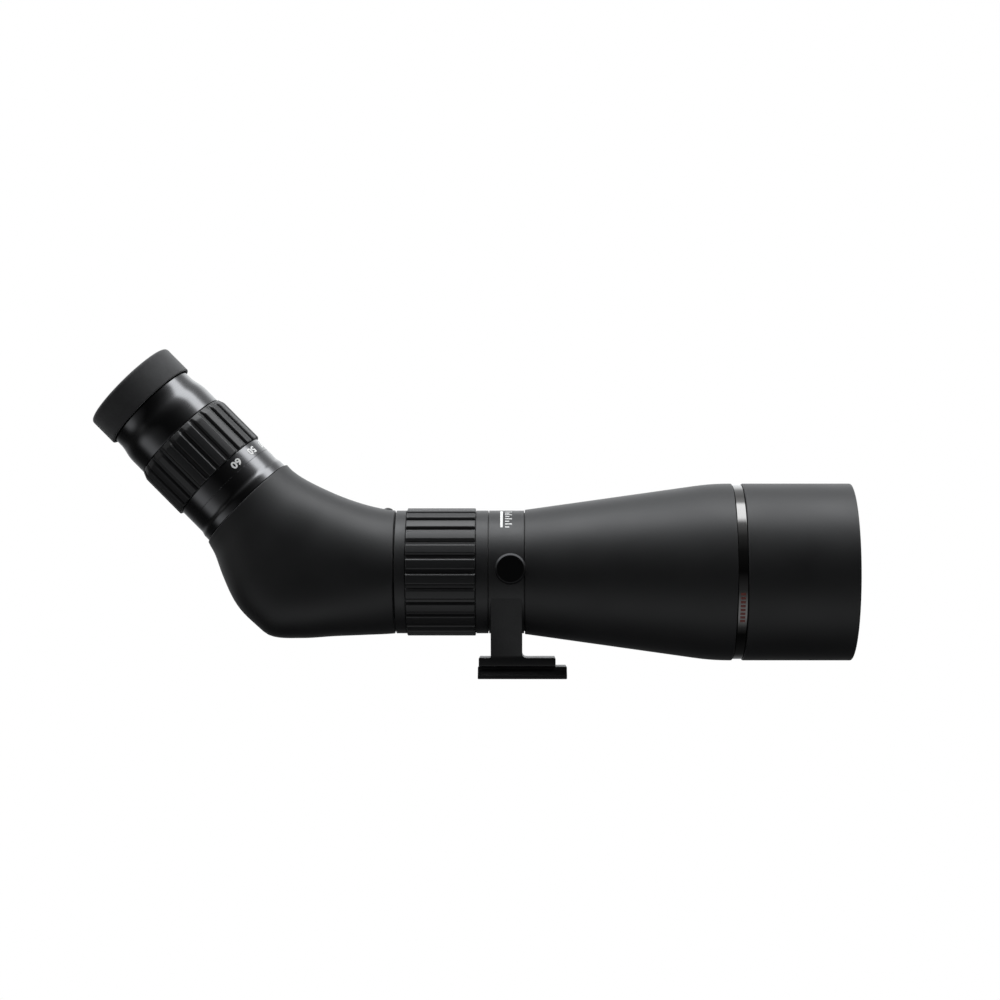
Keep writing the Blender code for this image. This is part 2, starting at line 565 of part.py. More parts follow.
# Focusing lens in its sliding cell
turned("focus_cell",
       [(CELL_RADIUS - 4.6, CELL_REAR), (CELL_RADIUS, CELL_REAR), (CELL_RADIUS, CELL_FRONT),
        (CELL_RADIUS - 2.0, CELL_FRONT), (CELL_RADIUS - 2.0, CELL_REAR + 3.0),
        (CELL_RADIUS - 4.6, CELL_REAR + 3.0)], main_axis, inner_black)
lens("focus_lens", CELL_RADIUS - 2.6, CELL_REAR + 4.5, CELL_REAR + 8.5, -1.2, -1.6, main_axis,
     optical_glass)
ring("focus_retainer", CELL_RADIUS - 4.6, CELL_RADIUS - 2.6, CELL_REAR + 9.0, CELL_REAR + 11.5,
     main_axis, inner_black)
add_object("focus_pin", radial_mesh(PIN_RADIUS, CELL_RADIUS + GAP, FOCUS_CHANNEL_RADIUS - 0.6,
                                    FOCUS_PIN_X, 1), main_axis, bright_steel)

# Prism housing: lofted shell with a bore at each end
prism_housing = add_object("prism_housing", loft_mesh(section_loops(0.0, 0.0, 45.0)), root,
                           body_paint)
hollow = cutter("housing_hollow", loft_mesh(section_loops(HOUSING_WALL, 6.0, 42.0)), root)
front_bore = cutter("housing_front_bore", turned_mesh(
    [(0, TUBE_REAR - 8), (TUBE_RADIUS + RUNNING_GAP, TUBE_REAR - 8),
     (TUBE_RADIUS + RUNNING_GAP, HOUSING_FRONT + 1), (0, HOUSING_FRONT + 1)], LARGE_ROUND), main_axis)
face_bore = cutter("housing_face_bore", turned_mesh(
    [(0, HOUSING_FACE - 14), (SPIGOT_RADIUS + RUNNING_GAP, HOUSING_FACE - 14),
     (SPIGOT_RADIUS + RUNNING_GAP, HOUSING_FACE + 1), (0, HOUSING_FACE + 1)], LARGE_ROUND),
    eyepiece_axis)
bead_axis = axis_empty("bead_axis", (BEAD_X, 0, 0), (0, 0, 0))
bead_hole = cutter("bead_hole", turned_mesh(
    [(0, BEAD_BOTTOM - GAP), (BEAD_RADIUS + GAP, BEAD_BOTTOM - GAP),
     (BEAD_RADIUS + GAP, BEAD_TOP + 2), (0, BEAD_TOP + 2)], TINY_ROUND), bead_axis)
for tool in (hollow, front_bore, face_bore, bead_hole):
    combine(prism_housing, tool)
turned("sight_bead", [(0, BEAD_BOTTOM), (BEAD_RADIUS, BEAD_BOTTOM), (BEAD_RADIUS, BEAD_TOP - 0.5),
                      (BEAD_RADIUS - 0.8, BEAD_TOP), (0, BEAD_TOP)], bead_axis, ring_paint, TINY_ROUND)
ring("housing_seal", TUBE_RADIUS + RUNNING_GAP, SEAL_RADIUS, HOUSING_FRONT + GAP, FOCUS_REAR - 0.4,
     main_axis, felt)

# Erecting prism in its cage, held by a sprung clamp and two screws
add_object("erecting_prism", prism_mesh(PRISM_OUTLINE, -PRISM_HALF_WIDTH, PRISM_HALF_WIDTH, "y"),
           root, optical_glass)
cage_half = [(0.0, CAGE_BOTTOM), (CAGE_HALF_WIDTH, CAGE_BOTTOM), (CAGE_HALF_WIDTH, CAGE_TOP),
             (PRISM_HALF_WIDTH + 0.5, CAGE_TOP), (PRISM_HALF_WIDTH + 0.5, CAGE_FLOOR), (0.0, CAGE_FLOOR)]
cage_outline = [(y, z) for y, z in cage_half[1:5]] + [(-y, z) for y, z in cage_half[4:0:-1]]
prism_cage = add_object("prism_cage", prism_mesh(cage_outline, *CAGE_X, "x"), root, cage_metal)
clamp_half = [(CAGE_HALF_WIDTH - 0.4, CAGE_TOP + GAP), (CAGE_HALF_WIDTH - 0.4, CAGE_TOP + 1.3),
              (PRISM_HALF_WIDTH + 1.2, CAGE_TOP + 1.3), (PRISM_HALF_WIDTH + 1.2, 79.8)]
clamp_inside = [(PRISM_HALF_WIDTH + 0.5, 79.0), (PRISM_HALF_WIDTH + 0.5, CAGE_TOP + GAP)]
clamp_outline = clamp_half + [(-y, z) for y, z in clamp_half[::-1]]
clamp_outline += [(-y, z) for y, z in clamp_inside[::-1]] + clamp_inside
prism_clamp = add_object("prism_clamp", prism_mesh(clamp_outline, *CLAMP_X, "x"), root, cage_metal)
for label, side in (("left", 1), ("right", -1)):
    screw_axis = axis_empty(f"prism_screw_{label}_axis",
                            (sum(CLAMP_X) / 2, side * (PRISM_HALF_WIDTH + 3.2), 0), (0, 0, 0))
    turned(f"prism_screw_{label}",
           [(0, PRISM_SCREW_END), (PRISM_SCREW_RADIUS, PRISM_SCREW_END),
            (PRISM_SCREW_RADIUS, CAGE_TOP + 1.6), (1.9, CAGE_TOP + 1.6),
            (1.9, CAGE_TOP + 3.4), (0, CAGE_TOP + 3.4)], screw_axis, bright_steel, TINY_ROUND)
    hole = cutter(f"prism_screw_{label}_hole", turned_mesh(
        [(0, PRISM_SCREW_END - 0.5), (PRISM_SCREW_RADIUS + GAP, PRISM_SCREW_END - 0.5),
         (PRISM_SCREW_RADIUS + GAP, CAGE_TOP + 2), (0, CAGE_TOP + 2)], TINY_ROUND), screw_axis)
    combine(prism_cage, hole)
    combine(prism_clamp, hole)

# Eyepiece base: spigot, flange and the sleeve that everything turns on
eyepiece_base = turned("eyepiece_base",
                       [(SLEEVE_BORE, HOUSING_FACE - 6), (SPIGOT_RADIUS, HOUSING_FACE - 6),
                        (SPIGOT_RADIUS, HOUSING_FACE + GAP), (BASE_FLANGE_RADIUS, HOUSING_FACE + GAP),
                        (BASE_FLANGE_RADIUS, BASE_FLANGE_END), (ZOOM_BAND_RADIUS, BASE_TAPER_END),
                        (ZOOM_BAND_RADIUS, ZOOM_BAND_START - 0.5),
                        (SLEEVE_RADIUS, ZOOM_BAND_START - 0.5), (SLEEVE_RADIUS, SLEEVE_END),
                        (SLEEVE_BORE, SLEEVE_END)], eyepiece_axis, gloss_black, LARGE_ROUND)
for name, station, slot_length, direction in (
        ("zoom_front_slot", ZOOM_FRONT_PIN + 0.6, 9.0, 1), ("zoom_rear_slot", ZOOM_REAR_PIN, 4.4, -1)):
    slot = cutter(name, radial_mesh(PIN_RADIUS + RUNNING_GAP, SLEEVE_BORE - 3, SLEEVE_RADIUS + 3,
                                    station, direction, length=slot_length), eyepiece_axis)
    combine(eyepiece_base, slot)
ring("field_stop", FIELD_STOP_HOLE, SLEEVE_BORE - 0.5, *FIELD_STOP, eyepiece_axis, inner_black)

# Zoom ring: number band, core with the channel for the pins, ribbed rubber
turned("zoom_ring",
       [(SLEEVE_RADIUS + RUNNING_GAP, ZOOM_BAND_START), (ZOOM_BAND_RADIUS, ZOOM_BAND_START),
        (ZOOM_BAND_RADIUS, ZOOM_GRIP_START - GAP), (ZOOM_CORE_RADIUS, ZOOM_GRIP_START - GAP),
        (ZOOM_CORE_RADIUS, ZOOM_GRIP_END - 0.2), (SLEEVE_RADIUS + RUNNING_GAP, ZOOM_GRIP_END - 0.2),
        (SLEEVE_RADIUS + RUNNING_GAP, ZOOM_REAR_PIN + 4), (SLEEVE_RADIUS + 1.4, ZOOM_REAR_PIN + 4),
        (SLEEVE_RADIUS + 1.4, ZOOM_FRONT_PIN - 6), (SLEEVE_RADIUS + RUNNING_GAP, ZOOM_FRONT_PIN - 6)],
       eyepiece_axis, gloss_black, LARGE_ROUND)
ribbed_sleeve("zoom_grip", ZOOM_RIBS, 0.0, ZOOM_CORE_RADIUS + RUNNING_GAP, ZOOM_GROOVE_RADIUS,
              ZOOM_GRIP_RADIUS,
              ((ZOOM_GRIP_START, 1.0), (ZOOM_GRIP_END - 3.2, 1.0), (ZOOM_GRIP_END, 0.0)),
              eyepiece_axis, grip_rubber)

# Zoom lenses: two cells that slide in the sleeve, each with its pin
for label, pin_at, half_length, direction, bulge in (("front", ZOOM_FRONT_PIN, 5.0, 1, 1.6),
                                                     ("rear", ZOOM_REAR_PIN, 4.5, -1, -1.0)):
    ring(f"zoom_{label}_cell", ZOOM_CELL_RADIUS - 2.4, ZOOM_CELL_RADIUS, pin_at - half_length,
         pin_at + half_length, eyepiece_axis, inner_black)
    lens(f"zoom_{label}_lens", ZOOM_CELL_RADIUS - 2.9, pin_at - 1.8, pin_at + 1.8, bulge, bulge,
         eyepiece_axis, optical_glass)
    add_object(f"zoom_{label}_pin",
               radial_mesh(PIN_RADIUS, ZOOM_CELL_RADIUS + GAP, SLEEVE_RADIUS + 1.0, pin_at, direction),
               eyepiece_axis, bright_steel)

# Upper barrel with the eye lens
turned("eyepiece_barrel",
       [(SLEEVE_RADIUS + RUNNING_GAP, BARREL_START), (BARREL_RADIUS - 0.3, BARREL_START),
        (BARREL_RADIUS, BARREL_START + 0.3), (BARREL_RADIUS, BARREL_TAPER[0]),
        (BARREL_NECK_RADIUS, BARREL_TAPER[1]), (BARREL_NECK_RADIUS, BARREL_NECK_END),
        (BARREL_MOUTH_RADIUS, BARREL_NECK_END), (BARREL_MOUTH_RADIUS, BARREL_END),
        (EYE_CELL_RADIUS, BARREL_END), (EYE_CELL_RADIUS, EYE_SEAT), (EYE_SEAT_RADIUS, EYE_SEAT),
        (EYE_SEAT_RADIUS, SLEEVE_END + 0.8),
        (SLEEVE_RADIUS + RUNNING_GAP, SLEEVE_END + 0.8)], eyepiece_axis, gloss_black, LARGE_ROUND)
lens("eye_lens", EYE_LENS_RADIUS, EYE_SEAT + 0.7, EYE_SEAT + 3.8, 3.0, 2.0, eyepiece_axis, optical_glass)
turned("eye_lens_retainer",
       [(EYE_LENS_RADIUS - 2.2, EYE_SEAT + 4.5), (EYE_LENS_RADIUS, EYE_SEAT + 4.5),
        (EYE_LENS_RADIUS, EYE_SEAT + 7.0), (EYE_LENS_RADIUS - 0.8, EYE_SEAT + 7.0)],
       eyepiece_axis, inner_black)

# Twist-up eyecup: cam ring, sleeve and rubber cup
ring("eyecup_cam_ring", CAM_RADIUS - 1.0, CAM_RADIUS, EYECUP_START + 0.2, CAM_END, eyepiece_axis,
     inner_black, LARGE_ROUND)
turned("eyecup_sleeve",
       [(CUP_SLEEVE_BORE, EYECUP_START + 0.5), (CUP_SLEEVE_RADIUS, EYECUP_START + 0.5),
        (CUP_SLEEVE_RADIUS, CUP_SLEEVE_END), (CUP_SLEEVE_HOLE, CUP_SLEEVE_END),
        (CUP_SLEEVE_HOLE, CUP_SLEEVE_END - 1.6), (CUP_SLEEVE_BORE, CUP_SLEEVE_END - 1.6)],
       eyepiece_axis, inner_black, LARGE_ROUND)
turned("eyecup_rubber",
       [(EYECUP_BORE, EYECUP_START), (EYECUP_RADIUS, EYECUP_START), (EYECUP_RADIUS, EYECUP_END - 1.6),
        (EYECUP_RADIUS - 0.45, EYECUP_END - 0.5), (EYECUP_RADIUS - 1.6, EYECUP_END),
        (EYECUP_MOUTH_RADIUS, EYECUP_END), (EYECUP_SEAT_RADIUS, EYECUP_SEAT),
        (EYECUP_BORE, EYECUP_SEAT)], eyepiece_axis, cup_rubber, LARGE_ROUND)

bpy.context.view_layer.update()
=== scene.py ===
"""Angled zoom spotting scope on its tripod collar: the pieces that are seen.

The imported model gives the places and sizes. A piece is made in millimetres about its own axis,
with Z along the axis, and is then put into the model's frame, in metres. An axis keeps the near
side (-Y) on its X, so an angle of 0 on a turned piece faces the near side.
"""
import json
from math import cos, hypot, pi, radians, sin, sqrt
import bmesh
import bpy
from mathutils import Matrix, Vector


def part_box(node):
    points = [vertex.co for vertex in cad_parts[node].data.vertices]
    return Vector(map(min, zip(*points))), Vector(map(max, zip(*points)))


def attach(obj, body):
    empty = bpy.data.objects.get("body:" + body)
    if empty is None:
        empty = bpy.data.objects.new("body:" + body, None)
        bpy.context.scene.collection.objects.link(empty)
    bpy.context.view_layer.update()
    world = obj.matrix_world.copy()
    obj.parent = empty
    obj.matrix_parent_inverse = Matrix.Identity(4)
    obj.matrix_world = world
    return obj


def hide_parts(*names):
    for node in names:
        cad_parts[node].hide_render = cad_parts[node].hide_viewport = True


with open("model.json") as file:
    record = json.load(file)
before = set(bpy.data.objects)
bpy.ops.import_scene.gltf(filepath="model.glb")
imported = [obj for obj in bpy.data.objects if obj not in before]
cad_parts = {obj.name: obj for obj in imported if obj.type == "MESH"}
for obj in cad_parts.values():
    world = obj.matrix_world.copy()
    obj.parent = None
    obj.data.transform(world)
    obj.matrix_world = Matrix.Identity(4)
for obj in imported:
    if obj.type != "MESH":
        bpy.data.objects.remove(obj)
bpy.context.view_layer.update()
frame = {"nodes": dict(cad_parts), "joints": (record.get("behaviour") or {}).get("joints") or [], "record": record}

MM = 0.001
FINE_ROUND = 160              # sides of a large turned piece
ROUND = 96                    # sides of a turned piece that is partly hidden
SMALL_ROUND = 32              # sides of a screw or a pin
ARC_STEPS = 5                 # facets of an eased corner
SHARP_ANGLE = radians(40)

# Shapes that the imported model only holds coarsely, in millimetres and degrees.
# Front shell and hood
SHELL_TANGENT = 110.3         # where the cone and the straight front of the shell would meet
SHELL_EASE = 9.0
SHELL_REAR_RADIUS = 33.5
SHELL_WALL = 0.6
SHELL_COLLAR_LENGTH = 12.0    # straight bore behind the cone
SHELL_FRONT_BORE = 16.0       # length of the straight bore at the front
LIP_RADIUS = 31.9             # lips that reach under the ends of the collar
LIP_LENGTH = 0.95
CLEARANCE = 0.5               # air round a piece that turns or slides
GRIP_GAP = 0.3                # between a rubber sleeve and the shoulder beside it
FOCUS_CORE_STEP = 1.2         # how far the core under the focus rubber lies below its flanges
HOOD_BORE = 45.4
TRAP_PITCH = 1.6              # light-trap grooves in the hood
TRAP_DEPTH = 0.55
TRAP_END = 16.0               # no groove starts nearer to the hood's rear end

# Objective
OBJECTIVE_TUBE_WALL = 3.9
CELL_WALL = 2.5
CELL_LEDGE = 3.2              # how far the ledge under the lenses stands in
CELL_THREAD_PITCH = 0.75      # unused filter thread in front of the objective
CELL_THREAD_DEPTH = 0.3
CELL_THREAD_END = 16.0        # no turn starts nearer to the ledge
SPANNER_SLOT = (2.2, 1.0)     # half length and half width
LENS_STEPS = 12               # facets from the middle of a lens face to its edge

# Collar and foot
COLLAR_REBATE = 0.9           # how deep each end of the collar's bore is widened
COLLAR_REBATE_RADIUS = 32.4
LINER_SETBACK = 1.2
STEM_HALF_LENGTH = 8.4
STEM_SHOULDER = (31.5, 47.0)  # where the stem's side faces leave the ring
STEM_EASE = 0.5
STEM_FIT = 0.7                # the stem and the boss stop short of the collar's bore
BOSS_FIT = 0.5
PAD_THICKNESS = 4.4
PAD_HALF_WIDTH = 18.4
PAD_FILLET = 2.2
BOSS_RADIUS = 6.6
BOSS_GAP = 0.6                # between the boss and the knob
STUD_HOLE = 3.2
DOVETAIL_EDGE = 2.0           # height of the dovetail's widest edge
WAIST_HEIGHT = 5.2
WAIST_SETBACK = 3.5           # of the dovetail's waist from its widest edge
HOLE_CLEARANCE = 0.3
HEAD_HEIGHT = 3.4             # foot screws
SHANK_RADIUS = 1.5
HEX_RADIUS = 1.35
HEX_DEPTH = 1.7
THREAD_RADIUS = 3.2           # inch tripod thread
THREAD_DEPTH = 0.55
THREAD_PITCH = 1.27
OVERCUT = 1.0                 # how far a cutting tool reaches past the work

# Lock knob
KNURLS = 40
KNURL_SHARE = 0.62            # of its pitch that a knurl fills
KNURL_HEIGHT = 0.35
KNOB_CHAMFER = 1.2
KNOB_RIM = 1.6                # plain rim in front of the knurls
FACE_CHAMFER = 1.1

# Prism housing
HOUSING_WALL = 2.6
HOUSING_SIDES = 96
HOUSING_STEP = 1.0            # degrees of fan between two rings of the housing
HOUSING_INNER_STEP = 3.0
BELLY_FULLNESS = 0.7          # how much squarer the housing's underside is
HOUSING_LIP = 0.85            # how far its front rim reaches over the seal
SEAL_POCKET = 32.2            # bore of that rim
FRONT_BORE = 29.1
FACE_BORE = 25.5

# Ribbed rubber
LAND_SHARE = 0.46             # of a rib's pitch, its flat top
FLANK_SHARE = 0.18            # and each of its rounded sides
FLANK_STEPS = 6
LAND_EASE = 0.025             # share of the pitch that softens the edge of the flat top
RIB_DEPTH = 1.35
FOCUS_RIBS = 26
ZOOM_RIBS = 24
GRIP_BORES = (32.4, 27.5)
ZOOM_RUN_OUT = 3.2            # length over which the zoom ribs run out

# Eyepiece
SLEEVE_RADIUS = 24.6
SLEEVE_BORE = 22.2
SPIGOT_RADIUS = 25.0
SPIGOT_LENGTH = 6.3
FLANGE_LENGTH = 3.8
FLANGE_TAPER = 2.1
ZOOM_CORE = 27.0
BAND_GAP = 0.14               # between the number band and the base
NECK_RADIUS = 26.1
NECK_GAP = 0.5                # between the neck's end and the eyecup
BARREL_STRAIGHT = 10.9
BARREL_TAPER = 6.5
BARREL_MOUTH = 23.4
EYE_CELL = 19.7
EYE_SEAT = 2.3                # the lens seat above the eye lens's lowest point
EYE_SEAT_HOLE = 18.0
EYECUP_BORE = 26.8
EYECUP_MOUTH = 23.6
EYECUP_SEAT = 3.2             # depth of the mouth down to the cup's inner step
EYECUP_SEAT_HOLE = 20.8
SLEEVE_HOLE = 19.8            # in the sleeve under the eyecup
SLEEVE_TOP = 1.6
THIN_WALL = (1.0, 0.9)        # cam ring and sleeve

# Printed marks
INK = 0.06                    # how far printed marks stand off
DIGIT_SIZE = 5.2
DIGIT_STRETCH = 1.22          # wide figures
DIGIT_WEIGHT = 0.17           # how much the strokes are thickened
DIGIT_HEIGHT = 3.9            # from the band's edge to the middle of the figures
ZOOM_MARKS = ((60, 26.0), (50, 54.0), (40, 82.0), (30, 110.0), (20, 138.0))
INDEX_MARK = (4.2, 0.8)       # how far from the base's edge the index mark starts and ends
INDEX_ARC = (88.6, 91.4)
COLLAR_BAR = (-3.2, -1.9, -78.0, -45.5)  # start and end along the axis, then round it
TICK_START = -0.6
TICK_LENGTHS = (3.6, 2.2)
TICK_ARC = 1.3
TICK_STEP = 4.2
FIRST_TICK = -76.0
TICKS = 8
DASHES = 8                    # on the accent ring
DASH_HALF_LENGTH = 1.3
DASH_ARC = 1.7
DASH_STEP = 2.7
FIRST_DASH = 13.5

# Prism housing on planes that fan out from the line where its end planes meet:
# angle, nearest and furthest distance from that line, half width, squareness
FAN_HEIGHT = 172.8
HOUSING_SECTIONS = (
    (0.0, 82.6, 149.0, 33.2, 2.0),
    (6.0, 81.6, 150.6, 33.6, 2.05),
    (12.0, 80.8, 153.8, 34.2, 2.15),
    (18.0, 80.3, 159.2, 34.4, 2.25),
    (23.5, 80.2, 163.9, 34.2, 2.3),
    (27.0, 80.3, 162.0, 33.9, 2.3),
    (32.0, 80.8, 157.9, 33.2, 2.25),
    (38.0, 81.7, 149.3, 31.6, 2.1),
    (42.0, 82.1, 143.6, 30.4, 2.05),
    (45.0, 81.95, 141.35, 29.7, 2.0),
)
# Its rounded end edges: how far back from the end, and how far in from the section
HOUSING_RIM = ((0.0, 0.4), (0.06, 0.22), (0.16, 0.09), (0.32, 0.02), (0.5, 0.0))

joints = {joint["name"]: joint for joint in frame["joints"]}
bodies = frame["record"]["behaviour"]["bodies"]
body_of_node = {node: body for body, members in bodies.items() for node in members}
slot_of_node = {entry["node"]: entry["material_slot"] for entry in frame["record"]["subparts"]}


# ---------------------------------------------------------------- axes and sizes

def axis_frame(direction, origin, across):
    """A frame in metres whose Z runs along a direction and whose X is across it."""
    along = Vector(direction).normalized()
    across = Vector(across)
    turn = Matrix((across, along.cross(across), along)).transposed().to_4x4()
    return Matrix.Translation(origin) @ turn


def extent(node_name, axis):
    """Where a node starts and ends along an axis, and its greatest radius, in millimetres."""
    to_axis = (axis @ Matrix.Scale(MM, 4)).inverted()
    points = [to_axis @ vertex.co for vertex in frame["nodes"][node_name].data.vertices]
    heights = [point.z for point in points]
    return min(heights), max(heights), max(hypot(point.x, point.y) for point in points)


def upright_axis(node_name):
    """An upright axis through the middle of a small part."""
    low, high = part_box(node_name)
    return Matrix.Translation(((low.x + high.x) / 2, 0, 0))


NEAR_SIDE = (0, -1, 0)
main_line = Vector(joints["collar_turn"]["pos_m"])
MAIN = axis_frame((1, 0, 0), (0, 0, main_line.z), NEAR_SIDE)
eye_direction = Vector(joints["zoom_turn"]["axis"]).normalized()
eye_point = Vector(joints["zoom_turn"]["pos_m"])
axes_meet = eye_point - eye_direction * (eye_point.z - main_line.z) / eye_direction.z
EYE = axis_frame(eye_direction, axes_meet, NEAR_SIDE)
lock_point = Vector(joints["lock_turn"]["pos_m"])
LOCK = axis_frame(joints["lock_turn"]["axis"], (lock_point.x, 0, lock_point.z), (1, 0, 0))
ROOT = Matrix.Identity(4)
AXIS_HEIGHT = main_line.z / MM


def in_millimetres(axis):
    """An axis frame with its origin in millimetres."""
    return Matrix.Scale(1 / MM, 4) @ axis @ Matrix.Scale(MM, 4)


MAIN_MM = in_millimetres(MAIN)
LOCK_MM = in_millimetres(LOCK)
TUBE_BORE = extent("centre_tube", MAIN)[2] + CLEARANCE
OBJECTIVE_BORE = extent("objective_tube", MAIN)[2] + CLEARANCE
HOUSING_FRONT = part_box("prism_housing")[1].x / MM

# Each lens with its axis, and how far its rear and front faces bulge
LENS_FACES = (
    ("objective_front_lens", MAIN, 4.0, 4.5), ("objective_rear_lens", MAIN, 0.8, -4.3),
    ("focus_lens", MAIN, -1.2, -1.6), ("zoom_front_lens", EYE, 1.6, 1.6),
    ("zoom_rear_lens", EYE, -1.0, -1.0), ("eye_lens", EYE, 3.0, 2.0),
)


# ---------------------------------------------------------------- node helpers

def add_node(tree, kind, feeds=None, **settings):
    """Add a node with its settings; feeds gives its inputs values or other nodes' outputs."""
    made = tree.nodes.new(kind)
    for name, value in settings.items():
        setattr(made, name, value)
    for key, value in (feeds or {}).items():
        if isinstance(value, bpy.types.NodeSocket):
            tree.links.new(value, made.inputs[key])
        else:
            made.inputs[key].default_value = value
    return made


def new_tree(name, inputs):
    """A geometry tree with one geometry in and out and the named inputs."""
    tree = bpy.data.node_groups.new(name, "GeometryNodeTree")
    tree.interface.new_socket("Geometry", in_out="OUTPUT", socket_type="NodeSocketGeometry")
    tree.interface.new_socket("Geometry", in_out="INPUT", socket_type="NodeSocketGeometry")
    for label, kind in inputs:
        tree.interface.new_socket(label, in_out="INPUT", socket_type=kind)
    return tree, add_node(tree, "NodeGroupInput")


def close_tree(tree, given, geometry, merge):
    """End a tree: real geometry, seams closed, one material."""
    real = add_node(tree, "GeometryNodeRealizeInstances", {0: geometry})
    closed = add_node(tree, "GeometryNodeMergeByDistance", {"Geometry": real.outputs[0],
                                                            "Distance": merge})
    coated = add_node(tree, "GeometryNodeSetMaterial", {"Geometry": closed.outputs[0],
                                                        "Material": given.outputs["Material"]})
    add_node(tree, "NodeGroupOutput", {0: coated.outputs[0]})
    return tree


def lathe_tree():
    """Turn an outline (X is the radius, Z the height) about Z."""
    tree, given = new_tree("Turn on a lathe", (("Sides", "NodeSocketInt"),
                                               ("Material", "NodeSocketMaterial")))
    size = add_node(tree, "GeometryNodeAttributeDomainSize", {0: given.outputs["Geometry"]})
    columns = add_node(tree, "ShaderNodeMath", {0: given.outputs["Sides"], 1: 1.0})
    grid = add_node(tree, "GeometryNodeMeshGrid", {"Vertices X": size.outputs["Point Count"],
                                                   "Vertices Y": columns.outputs[0]})
    index = add_node(tree, "GeometryNodeInputIndex")
    row = add_node(tree, "ShaderNodeMath", {0: index.outputs[0], 1: columns.outputs[0]},
                   operation="DIVIDE")
    row = add_node(tree, "ShaderNodeMath", {0: row.outputs[0]}, operation="FLOOR")
    column = add_node(tree, "ShaderNodeMath", {0: index.outputs[0], 1: columns.outputs[0]},
                      operation="MODULO")
    where = add_node(tree, "GeometryNodeInputPosition")
    outline = add_node(tree, "GeometryNodeSampleIndex",
                       {0: given.outputs["Geometry"], 1: where.outputs[0],
                        "Index": row.outputs[0]}, data_type="FLOAT_VECTOR")
    part = add_node(tree, "ShaderNodeMath", {0: column.outputs[0], 1: given.outputs["Sides"]},
                    operation="DIVIDE")
    angle = add_node(tree, "ShaderNodeMath", {0: part.outputs[0], 1: 2 * pi},
                     operation="MULTIPLY")
    turned = add_node(tree, "ShaderNodeVectorRotate",
                      {"Vector": outline.outputs[0], "Angle": angle.outputs[0]},
                      rotation_type="Z_AXIS")
    placed = add_node(tree, "GeometryNodeSetPosition", {"Geometry": grid.outputs[0],
                                                        "Position": turned.outputs[0]})
    return close_tree(tree, given, placed.outputs[0], 0.002)


def repeat_round_tree():
    """Repeat a shape at even steps round Z."""
    tree, given = new_tree("Repeat round the axis", (("Count", "NodeSocketInt"),
                                                     ("Material", "NodeSocketMaterial")))
    points = add_node(tree, "GeometryNodeMeshLine", {"Count": given.outputs["Count"],
                                                     "Offset": (0, 0, 0)})
    index = add_node(tree, "GeometryNodeInputIndex")
    part = add_node(tree, "ShaderNodeMath", {0: index.outputs[0], 1: given.outputs["Count"]},
                    operation="DIVIDE")
    angle = add_node(tree, "ShaderNodeMath", {0: part.outputs[0], 1: 2 * pi},
                     operation="MULTIPLY")
    turn = add_node(tree, "ShaderNodeCombineXYZ", {"Z": angle.outputs[0]})
    copies = add_node(tree, "GeometryNodeInstanceOnPoints",
                      {"Points": points.outputs[0], "Instance": given.outputs["Geometry"],
                       "Rotation": turn.outputs[0]})
    return close_tree(tree, given, copies.outputs[0], 0.004)


def run_tree(tree, mesh, inputs):
    """Run a tree on a mesh and return the plain mesh that comes out."""
    holder = bpy.data.objects.new("work", mesh)
    bpy.context.scene.collection.objects.link(holder)
    maker = holder.modifiers.new("maker", "NODES")
    maker.node_group = tree
    for item in tree.interface.items_tree:
        if item.in_out == "INPUT" and item.name in inputs:
            maker[item.identifier] = inputs[item.name]
    return evaluated(holder)


def evaluated(holder):
    """The plain mesh of an object with its modifiers, which are then removed with it."""
    bpy.context.view_layer.update()
    seen = holder.evaluated_get(bpy.context.evaluated_depsgraph_get())
    result = bpy.data.meshes.new_from_object(seen)
    holder.modifiers.clear()
    bpy.data.objects.remove(holder)
    return result


LATHE = lathe_tree()
REPEAT_ROUND = repeat_round_tree()


# ---------------------------------------------------------------- finishes

def linear(hexadecimal):
    """An sRGB colour such as "#1B1C1D" as linear red, green, blue and alpha."""
    channels = [int(hexadecimal[start:start + 2], 16) / 255 for start in (1, 3, 5)]
    return tuple(c / 12.92 if c <= 0.04045 else ((c + 0.055) / 1.055) ** 2.4
                 for c in channels) + (1.0,)


